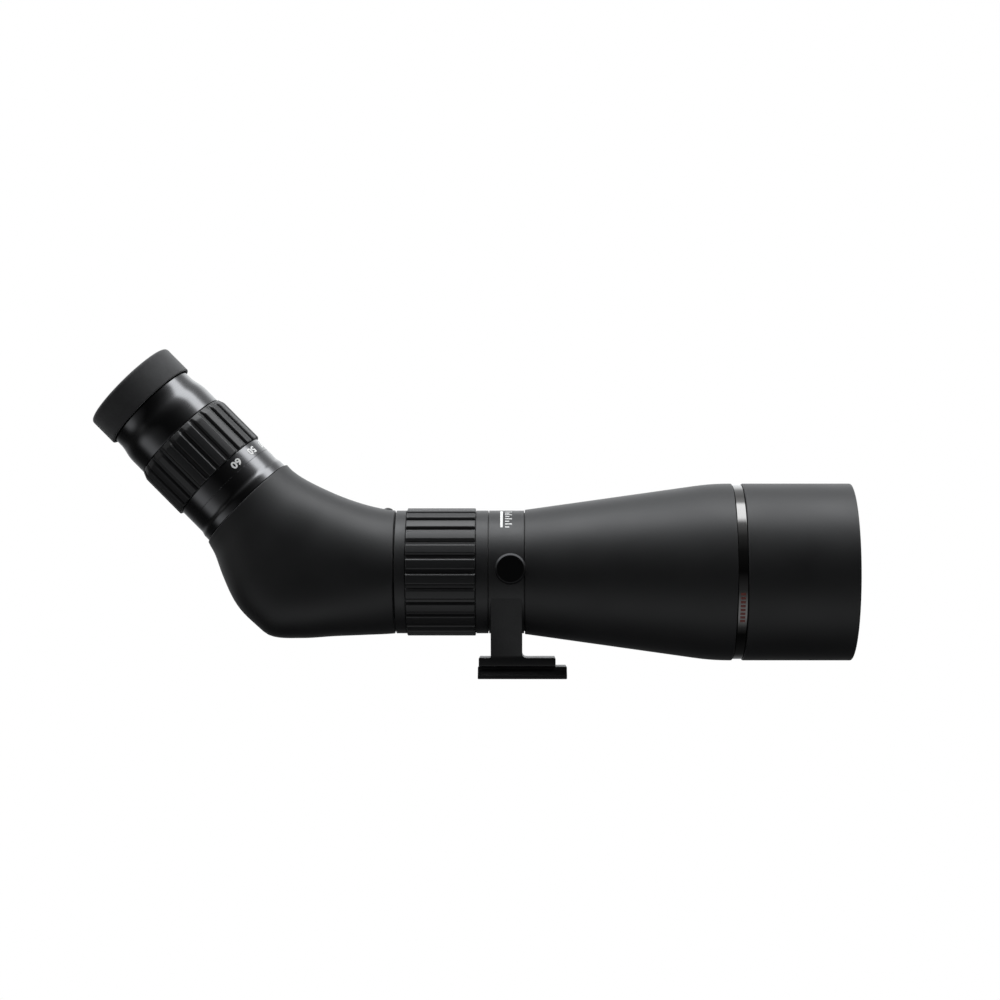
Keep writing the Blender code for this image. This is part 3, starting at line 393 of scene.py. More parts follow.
class Finish:
    """One surface finish, with its pattern coordinates in millimetres."""

    def __init__(self, name, roughness, **constants):
        self.material = bpy.data.materials.new(name)
        self.material.use_nodes = True
        self.tree = self.material.node_tree
        self.shader = self.tree.nodes["Principled BSDF"]
        self.shader.inputs["Roughness"].default_value = roughness
        for socket, value in constants.items():
            self.shader.inputs[socket.replace("_", " ")].default_value = value
        where = add_node(self.tree, "ShaderNodeTexCoord")
        self.place = add_node(self.tree, "ShaderNodeVectorMath",
                              {0: where.outputs["Object"], "Scale": 1000.0},
                              operation="SCALE").outputs[0]

    def grain(self, size, detail=2.0, place=None):
        """Noise whose grains are that many millimetres across."""
        made = add_node(self.tree, "ShaderNodeTexNoise",
                        {"Vector": place or self.place, "Scale": 1 / size, "Detail": detail})
        return made.outputs[0]

    def marks_along(self, direction, size):
        """Fine rings round an axis, as a lathe tool leaves them."""
        height = add_node(self.tree, "ShaderNodeVectorMath", {0: self.place, 1: direction},
                          operation="DOT_PRODUCT")
        made = add_node(self.tree, "ShaderNodeTexNoise",
                        {"W": height.outputs["Value"], "Scale": 1 / size, "Detail": 3.0},
                        noise_dimensions="1D")
        return made.outputs[0]

    def spread(self, value, low, high, start=0.3, end=0.7):
        """Stretch a pattern's middle range over low to high."""
        made = add_node(self.tree, "ShaderNodeMapRange",
                        {"Value": value, "From Min": start, "From Max": end,
                         "To Min": low, "To Max": high})
        return made.outputs[0]

    def colour(self, pattern, dark, light):
        """Mix two colours by a pattern."""
        mixed = add_node(self.tree, "ShaderNodeMix", {0: pattern, 6: linear(dark),
                                                      7: linear(light)}, data_type="RGBA")
        self.tree.links.new(mixed.outputs[2], self.shader.inputs["Base Color"])
        return self

    def rough(self, pattern, low, high):
        """Let a pattern vary the roughness."""
        self.tree.links.new(self.spread(pattern, low, high), self.shader.inputs["Roughness"])
        return self

    def relief(self, pattern, depth):
        """Raise the surface by a pattern, depth in millimetres."""
        bump = add_node(self.tree, "ShaderNodeBump", {"Height": pattern, "Strength": 1.0,
                                                      "Distance": depth * MM})
        self.tree.links.new(bump.outputs[0], self.shader.inputs["Normal"])
        return self


# A pattern's size without a note beside it was chosen, not taken from a real size.


def soft_touch_paint():
    """Sprayed soft-touch paint over the alloy shell: broad, quiet highlights with no sparkle."""
    made = Finish("soft_touch_paint_sprayed", 0.50, IOR=1.48)
    # the spray's orange peel is taken as 0.3 mm and drawn coarser; it is still faint
    peel = made.grain(0.6, 3.0)
    handling = made.grain(28.0, 2.0)
    made.colour(made.spread(handling, 0.0, 1.0), "#131314", "#171718")
    made.rough(handling, 0.47, 0.53)
    return made.relief(peel, 0.012).material


def collar_paint():
    """Baked satin paint on the cast collar: a little tighter highlight and a fine cast grain."""
    made = Finish("satin_paint_baked_on_casting", 0.45, IOR=1.5)
    casting = made.grain(0.9, 4.0)
    made.colour(made.spread(casting, 0.0, 1.0), "#131314", "#171718")
    made.rough(made.grain(9.0), 0.42, 0.50)
    return made.relief(casting, 0.02).material


def gloss_anodising(name, direction, low, high, dark, light):
    """Turned alloy, dyed black and sealed: crisp streaks with faint tool rings in them."""
    made = Finish(name, (low + high) / 2, Metallic=1.0)
    # the tool's feed is taken as 0.1 mm and drawn twice as coarse
    rings = made.marks_along(direction, 0.2)
    made.colour(made.spread(rings, 0.0, 1.0), dark, light)
    made.rough(rings, low, high)
    return made.relief(rings, 0.0002).material


def inner_anodising():
    """Matt black anodising inside the tubes: swallows light, a faint grey sheen at the edges."""
    made = Finish("black_anodising_blasted", 0.7)
    blast = made.grain(0.35, 3.0)
    made.colour(made.spread(blast, 0.0, 1.0), "#0D0D0E", "#151517")
    made.rough(blast, 0.62, 0.78)
    return made.relief(blast, 0.01).material


def grip_rubber():
    """Moulded rubber sleeve: dull, with the fine matt texture of a sparked mould."""
    made = Finish("rubber_moulded_spark_texture", 0.42, IOR=1.52)
    # a sparked mould's pits are taken as 0.1 mm and drawn coarser; they are still faint
    pits = made.grain(0.28, 3.0)
    made.colour(made.spread(made.grain(6.0), 0.0, 1.0), "#111112", "#151516")
    made.rough(pits, 0.36, 0.48)
    return made.relief(pits, 0.012).material


def eyecup_rubber():
    """Softer, drier rubber of the eyecup: greyer than the grips and almost without gloss."""
    made = Finish("soft_rubber_cup_dry_mould", 0.78, IOR=1.5, Sheen_Weight=0.25,
                  Sheen_Roughness=0.5)
    skin = made.grain(0.4, 4.0)
    made.colour(made.spread(made.grain(5.0, 3.0), 0.0, 1.0), "#1F1F20", "#262627")
    made.rough(skin, 0.72, 0.84)
    return made.relief(skin, 0.02).material


def felt():
    """Pressed black felt: short tangled fibres that catch light from the side."""
    made = Finish("felt_pressed_black", 0.95, Sheen_Weight=0.2, Sheen_Roughness=0.6)
    fibres = made.grain(0.25, 5.0)
    made.colour(made.spread(fibres, 0.0, 1.0), "#070707", "#131313")
    return made.relief(fibres, 0.08).material


def nylon():
    """Turned natural nylon: waxy off-white with soft cloudiness."""
    made = Finish("nylon_turned_natural", 0.42, IOR=1.53, Subsurface_Weight=0.1)
    made.shader.inputs["Subsurface Radius"].default_value = (0.002, 0.002, 0.0016)
    cloud = made.grain(3.0, 3.0)
    made.colour(made.spread(cloud, 0.0, 1.0), "#D3D0C4", "#DEDBD0")
    return made.relief(made.marks_along((1, 0, 0), 0.3), 0.004).material


def bare_metal(name, dark, light, low, high, size):
    """A turned or drawn bare metal with fine tool lines and slight tarnish."""
    made = Finish(name, (low + high) / 2, Metallic=1.0)
    lines = made.marks_along((0.3, 0.2, 0.93), size)
    made.colour(made.spread(made.grain(2.5, 3.0), 0.0, 1.0), dark, light)
    made.rough(lines, low, high)
    return made.relief(lines, 0.003).material


def coated_glass():
    """Optical glass with a multilayer coating: clear, with a faint green and violet bloom."""
    made = Finish("optical_glass_multicoated", 0.0, IOR=1.52, Transmission_Weight=1.0,
                  Thin_Film_Thickness=420.0, Thin_Film_IOR=1.38)
    haze = made.grain(14.0, 2.0)
    made.colour(made.spread(haze, 0.0, 1.0), "#E2EDE4", "#EEF4EA")
    made.rough(haze, 0.0, 0.015)
    return made.material


def marking_ink(name, dark, light):
    """Pad-printed ink: flat and opaque with slightly uneven cover."""
    made = Finish(name, 0.5)
    cover = made.grain(0.5, 3.0)
    made.colour(made.spread(cover, 0.0, 1.0), dark, light)
    made.rough(cover, 0.42, 0.58)
    return made.relief(cover, 0.004).material


PAINT = soft_touch_paint()
COLLAR_PAINT = collar_paint()
GLOSS_EYE = gloss_anodising("black_anodising_turned_eyepiece", eye_direction, 0.19, 0.24,
                            "#585859", "#616162")
GLOSS_MAIN = gloss_anodising("black_anodising_polished_ring", (1, 0, 0), 0.09, 0.13,
                             "#626160", "#6C6B6A")
KNOB = gloss_anodising("black_anodising_faced_knob", (0, 1, 0), 0.30, 0.38,
                       "#2C2C2D", "#333334")
INNER = inner_anodising()
GRIP = grip_rubber()
CUP = eyecup_rubber()
FELT = felt()
NYLON = nylon()
STEEL = bare_metal("stainless_steel_turned", "#8F9092", "#A9AAAB", 0.22, 0.36, 0.15)
BRASS = bare_metal("brass_turned", "#A88C4C", "#C0A562", 0.26, 0.40, 0.15)
CAGE = bare_metal("aluminium_milled", "#9A9B9E", "#B2B3B5", 0.35, 0.50, 0.4)
GLASS = coated_glass()
WHITE_INK = marking_ink("white_ink_pad_printed", "#D6D6D4", "#ECECEA")
RED_INK = marking_ink("red_ink_pad_printed", "#6A2A24", "#843A30")

finish_of_slot = {
    "body_paint": PAINT, "collar_paint": COLLAR_PAINT, "gloss_anodising": GLOSS_EYE,
    "inner_anodising": INNER, "grip_rubber": GRIP, "eyecup_rubber": CUP, "felt": FELT,
    "nylon": NYLON, "screw_steel": STEEL, "brass": BRASS, "coated_glass": GLASS,
    "cage_aluminium": CAGE,
}


# ---------------------------------------------------------------- shaping helpers

def rounded(corners):
    """Turn (height, radius, reach) corners into outline points, easing a corner over its reach."""
    outline = []
    count = len(corners)
    for index, (height, radius, reach) in enumerate(corners):
        here = Vector((radius, height))
        if reach == 0:
            outline.append(here)
            continue
        ends = []
        for beside in (corners[index - 1], corners[(index + 1) % count]):
            way = Vector((beside[1], beside[0])) - here
            room = way.length - reach - beside[2]
            way.normalize()
            ends.append((here + way * (reach + min(0.35 * reach, 0.4 * room)),
                         here + way * reach))
        (before, start), (after, end) = ends
        outline.append(before)
        for step in range(ARC_STEPS + 1):
            part = step / ARC_STEPS
            outline.append(start * (1 - part) ** 2 + here * 2 * part * (1 - part) + end * part ** 2)
        outline.append(after)
    return outline


def turned(outline, material, sides=FINE_ROUND):
    """Turn a closed outline of (radius, height) points on the lathe."""
    mesh = bpy.data.meshes.new("outline")
    points = [(point[0], 0.0, point[1]) for point in outline]
    points.append(points[0])
    mesh.from_pydata(points, [(n, n + 1) for n in range(len(points) - 1)], [])
    return run_tree(LATHE, mesh, {"Sides": sides, "Material": material})


def round_the_axis(unit, count, material):
    """Repeat a unit mesh round the axis."""
    return run_tree(REPEAT_ROUND, unit, {"Count": count, "Material": material})


def skinned(rows, cyclic=False, capped=True):
    """A mesh from a row of equal closed loops of points, closed on itself or at its ends."""
    work = bmesh.new()
    made = [[work.verts.new(point) for point in row] for row in rows]
    pairs = list(zip(made, made[1:] + made[:1])) if cyclic else list(zip(made, made[1:]))
    for low, high in pairs:
        for index in range(len(low)):
            after = (index + 1) % len(low)
            work.faces.new((low[index], low[after], high[after], high[index]))
    if capped and not cyclic:
        work.faces.new(made[0][::-1])
        work.faces.new(made[-1])
    mesh = bpy.data.meshes.new("skin")
    work.to_mesh(mesh)
    work.free()
    return mesh


def prism(outline, start, end, bevel=0.0, place=None):
    """Push an outline from start to end; place turns (a, b, depth) into a point."""
    place = place or (lambda a, b, depth: (a, b, depth))
    mesh = skinned([[place(a, b, start) for a, b in outline],
                    [place(a, b, end) for a, b in outline]])
    outward(mesh)
    if bevel:
        mesh = shaped(mesh, [], bevel)
    return mesh


def shaped(mesh, tools, bevel=0.0, operation="DIFFERENCE"):
    """Ease a mesh's edges, then cut it with tools."""
    holder = bpy.data.objects.new("work", mesh)
    bpy.context.scene.collection.objects.link(holder)
    if bevel:
        eased = holder.modifiers.new("eased", "BEVEL")
        eased.width = bevel
        eased.segments = 3
        eased.limit_method = "ANGLE"
        eased.angle_limit = radians(28)
    helpers = []
    for tool in tools:
        helper = bpy.data.objects.new("tool", tool)
        bpy.context.scene.collection.objects.link(helper)
        helpers.append(helper)
        cut = holder.modifiers.new("cut", "BOOLEAN")
        cut.object = helper
        cut.operation = operation
        cut.solver = "EXACT"
    result = evaluated(holder)
    for helper in helpers:
        bpy.data.objects.remove(helper)
    return result


def curved_patch(radius, start, end, first, last):
    """A thin printed patch that follows a turned surface between two angles, in degrees."""
    steps = max(2, round((last - first) / 3))
    rows = []
    for step in range(steps + 1):
        angle = radians(first + (last - first) * step / steps)
        rows.append([(reach * cos(angle), reach * sin(angle), height)
                     for reach, height in ((radius - INK, start), (radius + INK, start),
                                           (radius + INK, end), (radius - INK, end))])
    return skinned(rows)


def outward(mesh):
    """Make every closed shell of a mesh face outward."""
    work = bmesh.new()
    work.from_mesh(mesh)
    bmesh.ops.recalc_face_normals(work, faces=work.faces)
    work.to_mesh(mesh)
    work.free()


def joined(meshes):
    """Several shells as one mesh."""
    work = bmesh.new()
    for mesh in meshes:
        work.from_mesh(mesh)
    result = bpy.data.meshes.new("joined")
    work.to_mesh(result)
    work.free()
    return result


def add_piece(name, mesh, axis, material, stands_for=(), rides_with=None):
    """Put a mesh, in millimetres about its axis, into the frame as a finished piece."""
    mesh.name = name
    mesh.transform(axis @ Matrix.Scale(MM, 4))
    outward(mesh)
    mesh.materials.clear()
    mesh.materials.append(material)
    mesh.shade_smooth()
    mesh.set_sharp_from_angle(angle=SHARP_ANGLE)
    made = bpy.data.objects.new(name, mesh)
    bpy.context.scene.collection.objects.link(made)
    node_name = rides_with or stands_for[0]
    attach(made, body_of_node[node_name])
    if stands_for:
        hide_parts(*stands_for)
    return made


def turned_tool(outline, axis, sides):
    """A turned tool for cutting, where it cuts in the frame but in millimetres."""
    tool = turned(outline, COLLAR_PAINT, sides)
    tool.transform(in_millimetres(axis))
    outward(tool)
    return tool


def turned_piece(name, node_name, axis, corners, material, sides=FINE_ROUND):
    """A turned piece that stands for one node."""
    return add_piece(name, turned(rounded(corners), material, sides), axis, material,
                     (node_name,))


# ---------------------------------------------------------------- turned body pieces

def front_shell():
    """The cone, running tangent into its short straight front."""
    start, end, radius = extent("front_shell", MAIN)
    lip = start - LIP_LENGTH
    turned_piece("cone_shell", "front_shell", MAIN,
                 [(lip, TUBE_BORE, 0), (lip, LIP_RADIUS, 0.1), (start, LIP_RADIUS, 0),
                  (start, SHELL_REAR_RADIUS, 0.35), (SHELL_TANGENT, radius, SHELL_EASE),
                  (end, radius, 0.5), (end, OBJECTIVE_BORE, 0),
                  (end - SHELL_FRONT_BORE, OBJECTIVE_BORE, 0),
                  (start + SHELL_COLLAR_LENGTH, SHELL_REAR_RADIUS - SHELL_WALL, 0),
                  (start + SHELL_COLLAR_LENGTH, TUBE_BORE, 0)],
                 PAINT)


def accent_ring():
    """The polished ring between shell and hood."""
    start, end, radius = extent("accent_ring", MAIN)
    turned_piece("accent_band", "accent_ring", MAIN,
                 [(start, OBJECTIVE_BORE, 0), (start, radius, 0.35), (end, radius, 0.35),
                  (end, OBJECTIVE_BORE, 0)], GLOSS_MAIN)


def hood():
    """The sliding sunshade, with fine light-trap grooves inside its mouth."""
    start, end, radius = extent("lens_hood", MAIN)
    outline = rounded([(start, HOOD_BORE, 0.3), (start, radius, 0.8), (end, radius, 0.7),
                       (end, HOOD_BORE + 0.6, 0.2), (end - 0.8, HOOD_BORE, 0.2)])
    height = end - 3.0
    while height > start + TRAP_END:
        outline += [Vector((HOOD_BORE, height)),
                    Vector((HOOD_BORE + TRAP_DEPTH, height - 0.5 * TRAP_PITCH)),
                    Vector((HOOD_BORE, height - 0.62 * TRAP_PITCH))]
        height -= TRAP_PITCH
    add_piece("sunshade", turned(outline, PAINT), MAIN, PAINT, ("lens_hood",))


def hood_felt():
    """The felt band that the hood slides on."""
    start, end, radius = extent("hood_felt", MAIN)
    turned_piece("sunshade_felt", "hood_felt", MAIN,
                 [(start, OBJECTIVE_BORE, 0.2), (start, radius, 0.3), (end, radius, 0.3),
                  (end, OBJECTIVE_BORE, 0.2)], FELT, ROUND)


def objective_parts():
    """Tube, threaded cell and retaining ring round the front lens."""
    start, end, radius = extent("objective_tube", MAIN)
    bore = radius - OBJECTIVE_TUBE_WALL
    turned_piece("objective_tube_turned", "objective_tube", MAIN,
                 [(start, bore, 0), (start, radius, 0.4), (end, radius, 0.2), (end, bore, 0)],
                 INNER, ROUND)
    start, end, radius = extent("objective_cell", MAIN)
    bore = radius - CELL_WALL
    ledge = bore - CELL_LEDGE
    seat = extent("objective_rear_lens", MAIN)[0] - 0.2
    outline = rounded([(start, ledge, 0), (start, radius, 0.2), (end, radius, 0.6),
                       (end, bore + 0.4, 0.2)])
    height = end - 0.8
    while height > seat + CELL_THREAD_END:
        outline += [Vector((bore, height)),
                    Vector((bore + CELL_THREAD_DEPTH, height - CELL_THREAD_PITCH / 2))]
        height -= CELL_THREAD_PITCH
    outline += [Vector((bore, height)), Vector((bore, seat)), Vector((ledge, seat))]
    add_piece("objective_cell_threaded", turned(outline, INNER), MAIN, INNER,
              ("objective_cell",))
    start, end, radius = extent("objective_retainer", MAIN)
    ring = turned(rounded([(start, radius - 1.5, 0), (start, radius, 0), (end, radius, 0.15),
                           (end, radius - 2.4, 0.2), (end - 2.0, radius - 2.6, 0.2)]), INNER)
    long, wide = SPANNER_SLOT
    slots = [prism([(-long, -wide), (long, -wide), (long, wide), (-long, wide)],
                   end - 1.0, end + OVERCUT,
                   place=lambda a, b, depth, side=side: (side * (radius - 2) + a, b, depth))
             for side in (1, -1)]
    add_piece("objective_lock_ring", shaped(ring, slots), MAIN, INNER, ("objective_retainer",))


def lens_face(radius, edge, bulge, way):
    """A spherical face from its middle to its edge; way is 1 or -1 for a front or rear face."""
    curve = (radius ** 2 + bulge ** 2) / (2 * abs(bulge))
    sag = 1 if bulge > 0 else -1
    points = []
    for step in range(LENS_STEPS + 1):
        reach = radius * step / LENS_STEPS
        depth = curve - sqrt(curve ** 2 - reach ** 2)
        points.append(Vector((reach, edge + way * (bulge - sag * depth))))
    return points


def lenses():
    """Every lens, ground to spherical faces."""
    for node_name, axis, rear_bulge, front_bulge in LENS_FACES:
        start, end, radius = extent(node_name, axis)
        rear = lens_face(radius, start + max(rear_bulge, 0.0), rear_bulge, -1)
        front = lens_face(radius, end - max(front_bulge, 0.0), front_bulge, 1)
        add_piece(node_name + "_ground", turned(rear + front[::-1], GLASS, ROUND), axis,
                  GLASS, (node_name,))


def focus_ring_core():
    """The turned ring under the focus rubber, with its two smooth flanges."""
    start, end, radius = extent("focus_ring", MAIN)
    grip_start, grip_end, _ = extent("focus_grip", MAIN)
    core = radius - FOCUS_CORE_STEP
    rear_shoulder = grip_start - GRIP_GAP
    front_shoulder = grip_end + GRIP_GAP
    lip = end + LIP_LENGTH
    turned_piece("focus_flanges", "focus_ring", MAIN,
                 [(start, TUBE_BORE, 0), (start, radius, 0.4), (rear_shoulder, radius, 0.3),
                  (rear_shoulder, core, 0), (front_shoulder, core, 0),
                  (front_shoulder, radius, 0.3), (end, radius, 0.35), (end, LIP_RADIUS, 0),
                  (lip, LIP_RADIUS, 0.1), (lip, TUBE_BORE, 0)], COLLAR_PAINT)


def rib_unit(count, first, bore, land, start, end, run_out):
    """One pitch of a ribbed rubber sleeve, its rib's flat top in the middle of the pitch.

    run_out is the length over which the ribs fade into the sleeve at the far end.
    """
    pitch = 2 * pi / count
    groove = land - RIB_DEPTH
    edge = LAND_SHARE / 2
    turns = [0.0, edge - LAND_EASE, edge]
    turns += [edge + FLANK_SHARE * step / FLANK_STEPS for step in range(1, FLANK_STEPS + 1)]
    turns.append(0.5)
    turns = [-turn for turn in turns[:0:-1]] + turns
    rows = []
    for turn in turns:
        past = min(max((abs(turn) - edge) / FLANK_SHARE, 0.0), 1.0)
        stand = 1 - past * past
        radius = groove + RIB_DEPTH * stand
        ease = 0.35 + 0.25 * stand
        corners = [(start, bore, 0), (start, radius, ease)]
        if run_out:
            corners.append((end - run_out, radius, 0.8))
            corners.append((end, groove - 0.05 + 0.1 * stand, 0.3))
        else:
            corners.append((end, radius, ease))
        corners.append((end, bore, 0))
        angle = (turn + first) * pitch
        rows.append([(point.x * cos(angle), point.x * sin(angle), point.y)
                     for point in rounded(corners)])
    return skinned(rows, capped=False)


def ribbed_grips():
    """The two rubber sleeves: a groove faces the near side on one, a rib on the other."""
    for name, node_name, axis, count, first, bore, run_out in (
            ("focus_rubber", "focus_grip", MAIN, FOCUS_RIBS, 0.5, GRIP_BORES[0], 0.0),
            ("zoom_rubber", "zoom_grip", EYE, ZOOM_RIBS, 0.0, GRIP_BORES[1], ZOOM_RUN_OUT)):
        start, end, radius = extent(node_name, axis)
        unit = rib_unit(count, first, bore, radius, start, end, run_out)
        add_piece(name, round_the_axis(unit, count, GRIP), axis, GRIP, (node_name,))


# ---------------------------------------------------------------- prism housing

def housing_section(angle):
    """A section's size at any fan angle, smoothly between the given ones."""
    sections = HOUSING_SECTIONS
    place = 0
    while place < len(sections) - 2 and angle > sections[place + 1][0]:
        place += 1
    before = sections[max(place - 1, 0)]
    low = sections[place]
    high = sections[place + 1]
    after = sections[min(place + 2, len(sections) - 1)]
    part = (angle - low[0]) / (high[0] - low[0])
    values = []
    for item in range(1, 5):
        rise = high[0] - low[0]
        slope_low = (high[item] - before[item]) / max(high[0] - before[0], 1e-6) * rise
        slope_high = (after[item] - low[item]) / max(after[0] - low[0], 1e-6) * rise
        values.append((2 * part ** 3 - 3 * part ** 2 + 1) * low[item]
                      + (part ** 3 - 2 * part ** 2 + part) * slope_low
                      + (3 * part ** 2 - 2 * part ** 3) * high[item]
                      + (part ** 3 - part ** 2) * slope_high)
    return values


def housing_loop(angle, inset=0.0, bore=None, shift=0.0):
    """One ring of points on a fan plane, or shifted square to it: the section or a round bore."""
    near, far, half_width, power = housing_section(angle)
    fullness = BELLY_FULLNESS * max(sin(pi * angle / HOUSING_SECTIONS[-1][0]), 0.0)
    middle = (near + far) / 2
    half_height = (far - near) / 2 - inset
    half_width -= inset
    if bore is not None:
        end = HOUSING_SECTIONS[0] if angle < 20 else HOUSING_SECTIONS[-1]
        middle = (end[1] + end[2]) / 2
        half_height = half_width = bore
        power = 2.0
        fullness = 0.0
    loop = []
    turn = radians(angle)
    for side in range(HOUSING_SIDES):
        around = 2 * pi * side / HOUSING_SIDES
        across = cos(around)
        along = sin(around)
        square = power + fullness * max(along, 0.0) ** 0.5
        size = (abs(across) ** square + abs(along) ** square) ** (-1 / square)
        reach = middle + half_height * size * along
        loop.append((HOUSING_FRONT - reach * sin(turn) - shift * cos(turn),
                     half_width * size * across,
                     FAN_HEIGHT - reach * cos(turn) + shift * sin(turn)))
    return loop


def prism_housing():
    """The one-piece housing that bends the light up: a hollow loft with a bore at each end.

    Its rings go up the outside, down the eyepiece bore and back through the inside.
    """
    last = HOUSING_SECTIONS[-1][0]
    rows = [housing_loop(0.0, inset, shift=back - HOUSING_LIP) for back, inset in HOUSING_RIM]
    angle = HOUSING_STEP
    while angle < last - 0.9:
        rows.append(housing_loop(angle))
        angle += HOUSING_STEP
    rows += [housing_loop(last, inset, shift=-back) for back, inset in HOUSING_RIM[::-1]]
    rows += [housing_loop(last - turn, bore=FACE_BORE) for turn in (0.0, 1.5, 3.0)]
    angle = last - 3.2
    while angle > 8.0:
        rows.append(housing_loop(angle, HOUSING_WALL))
        angle -= HOUSING_INNER_STEP
    rows += [housing_loop(turn, bore=FRONT_BORE) for turn in (6.0, 3.0, 0.0)]
    rows += [housing_loop(0.0, bore=SEAL_POCKET, shift=-reach) for reach in (0.0, HOUSING_LIP)]
    add_piece("housing_shell", skinned(rows, cyclic=True), ROOT, PAINT, ("prism_housing",))


def housing_fittings():
    """The seal at the housing's front and the small sight bead on top."""
    start, end, radius = extent("housing_seal", MAIN)
    turned_piece("housing_seal_ring", "housing_seal", MAIN,
                 [(start, TUBE_BORE, 0), (start, radius, 0.2), (end, radius, 0.2),
                  (end, TUBE_BORE, 0)], FELT, ROUND)
    axis = upright_axis("sight_bead")
    start, end, radius = extent("sight_bead", axis)
    turned_piece("sight_bead_domed", "sight_bead", axis,
                 [(start, 0, 0), (start, radius, 0.2), (end - 1.3, radius, 0.4),
                  (end - 0.5, radius - 1.3, 0.9), (end - 0.4, 0, 0)], PAINT, SMALL_ROUND)


# ---------------------------------------------------------------- tripod collar and foot

def tripod_collar():
    """Ring, lock boss, stem and pad, as one casting."""
    start, end, liner = extent("collar_liner", MAIN)
    start -= LINER_SETBACK
    end += LINER_SETBACK
    bore = liner + CLEARANCE
    low, high = (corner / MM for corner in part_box("collar_ring"))
    top = high.z - AXIS_HEIGHT
    rear_step = start + COLLAR_REBATE
    front_step = end - COLLAR_REBATE
    ring = turned(rounded([(start, COLLAR_REBATE_RADIUS, 0), (start, top, 0.35), (end, top, 0.35),
                           (end, COLLAR_REBATE_RADIUS, 0), (front_step, COLLAR_REBATE_RADIUS, 0),
                           (front_step, bore, 0), (rear_step, bore, 0),
                           (rear_step, COLLAR_REBATE_RADIUS, 0)]), COLLAR_PAINT)
    ring.transform(MAIN_MM)
    rear_side = (start + end) / 2 - STEM_HALF_LENGTH
    front_side = rear_side + 2 * STEM_HALF_LENGTH
    pad_top = low.z + PAD_THICKNESS
    outline = [(rear_side, AXIS_HEIGHT), (front_side, AXIS_HEIGHT)]
    outline += [(front_side + PAD_FILLET * (1 - sin(radians(turn))),
                 pad_top + PAD_FILLET * (1 - cos(radians(turn)))) for turn in (90, 67, 45, 22, 0)]
    outline += [(high.x, pad_top), (high.x, low.z), (low.x, low.z), (low.x, pad_top),
                (rear_side, pad_top)]
    shoulder, shoulder_height = STEM_SHOULDER
    slab = [(3 - shoulder, AXIS_HEIGHT), (-shoulder, shoulder_height),
            (-PAD_HALF_WIDTH, pad_top + 1), (-PAD_HALF_WIDTH, low.z - OVERCUT)]
    slab += [(-y, z) for y, z in slab[::-1]]
    stem = prism(outline, -top, top, place=lambda a, b, depth: (a, depth, b))
    sides = prism(slab, low.x - OVERCUT, high.x + OVERCUT,
                  place=lambda a, b, depth: (depth, a, b))
    stem = shaped(stem, [sides], operation="INTERSECT")
    stem = shaped(stem, [], bevel=STEM_EASE)
    core_radius = bore + STEM_FIT
    core = turned_tool([(0, start - 20), (core_radius, start - 20), (core_radius, start + 60),
                        (0, start + 60)], MAIN, FINE_ROUND)
    stem = shaped(stem, [core])
    boss_start = bore + BOSS_FIT
    boss_end = extent("lock_knob", LOCK)[0] - BOSS_GAP
    boss = turned(rounded([(boss_start, STUD_HOLE, 0), (boss_start, BOSS_RADIUS, 0),
                           (boss_end, BOSS_RADIUS, 0.6), (boss_end, STUD_HOLE, 0.2)]),
                  COLLAR_PAINT, ROUND)
    boss.transform(LOCK_MM)
    add_piece("collar_casting", joined([ring, stem, boss]), ROOT, COLLAR_PAINT, ("collar_ring",))


def collar_marks():
    """The white index bar and a short generic scale beside it."""
    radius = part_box("collar_ring")[1].z / MM - AXIS_HEIGHT
    strips = [curved_patch(radius, *COLLAR_BAR)]
    for step in range(TICKS):
        end = TICK_START + TICK_LENGTHS[step % 2]
        angle = FIRST_TICK + TICK_STEP * step
        strips.append(curved_patch(radius, TICK_START, end, angle, angle + TICK_ARC))
    add_piece("collar_index_marks", joined(strips), MAIN, WHITE_INK, rides_with="collar_ring")


def accent_marks():
    """A broken red line on the accent ring."""
    start, end, radius = extent("accent_ring", MAIN)
    middle = (start + end) / 2
    dashes = []
    for step in range(DASHES):
        angle = FIRST_DASH + DASH_STEP * step
        dashes.append(curved_patch(radius, middle - DASH_HALF_LENGTH, middle + DASH_HALF_LENGTH,
                                   angle, angle + DASH_ARC))
    add_piece("accent_red_dashes", joined(dashes), MAIN, RED_INK, rides_with="accent_ring")


def foot():
    """Dovetail plate with its screws and the threaded bush."""
    low, high = (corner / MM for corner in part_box("dovetail_foot"))
    half = high.y
    waist = half - WAIST_SETBACK
    top = high.z
    outline = [(half, 0.0), (half, DOVETAIL_EDGE), (waist, WAIST_HEIGHT), (waist, top)]
    outline = [(-half, 0.0)] + outline + [(-y, z) for y, z in outline[:0:-1]]
    plate = prism(outline, low.x, high.x, bevel=0.5, place=lambda a, b, depth: (depth, a, b))
    holes = [foot_screw("rear", top), foot_screw("front", top), tripod_bush(top)]
    add_piece("dovetail_plate", shaped(plate, holes), ROOT, COLLAR_PAINT, ("dovetail_foot",))


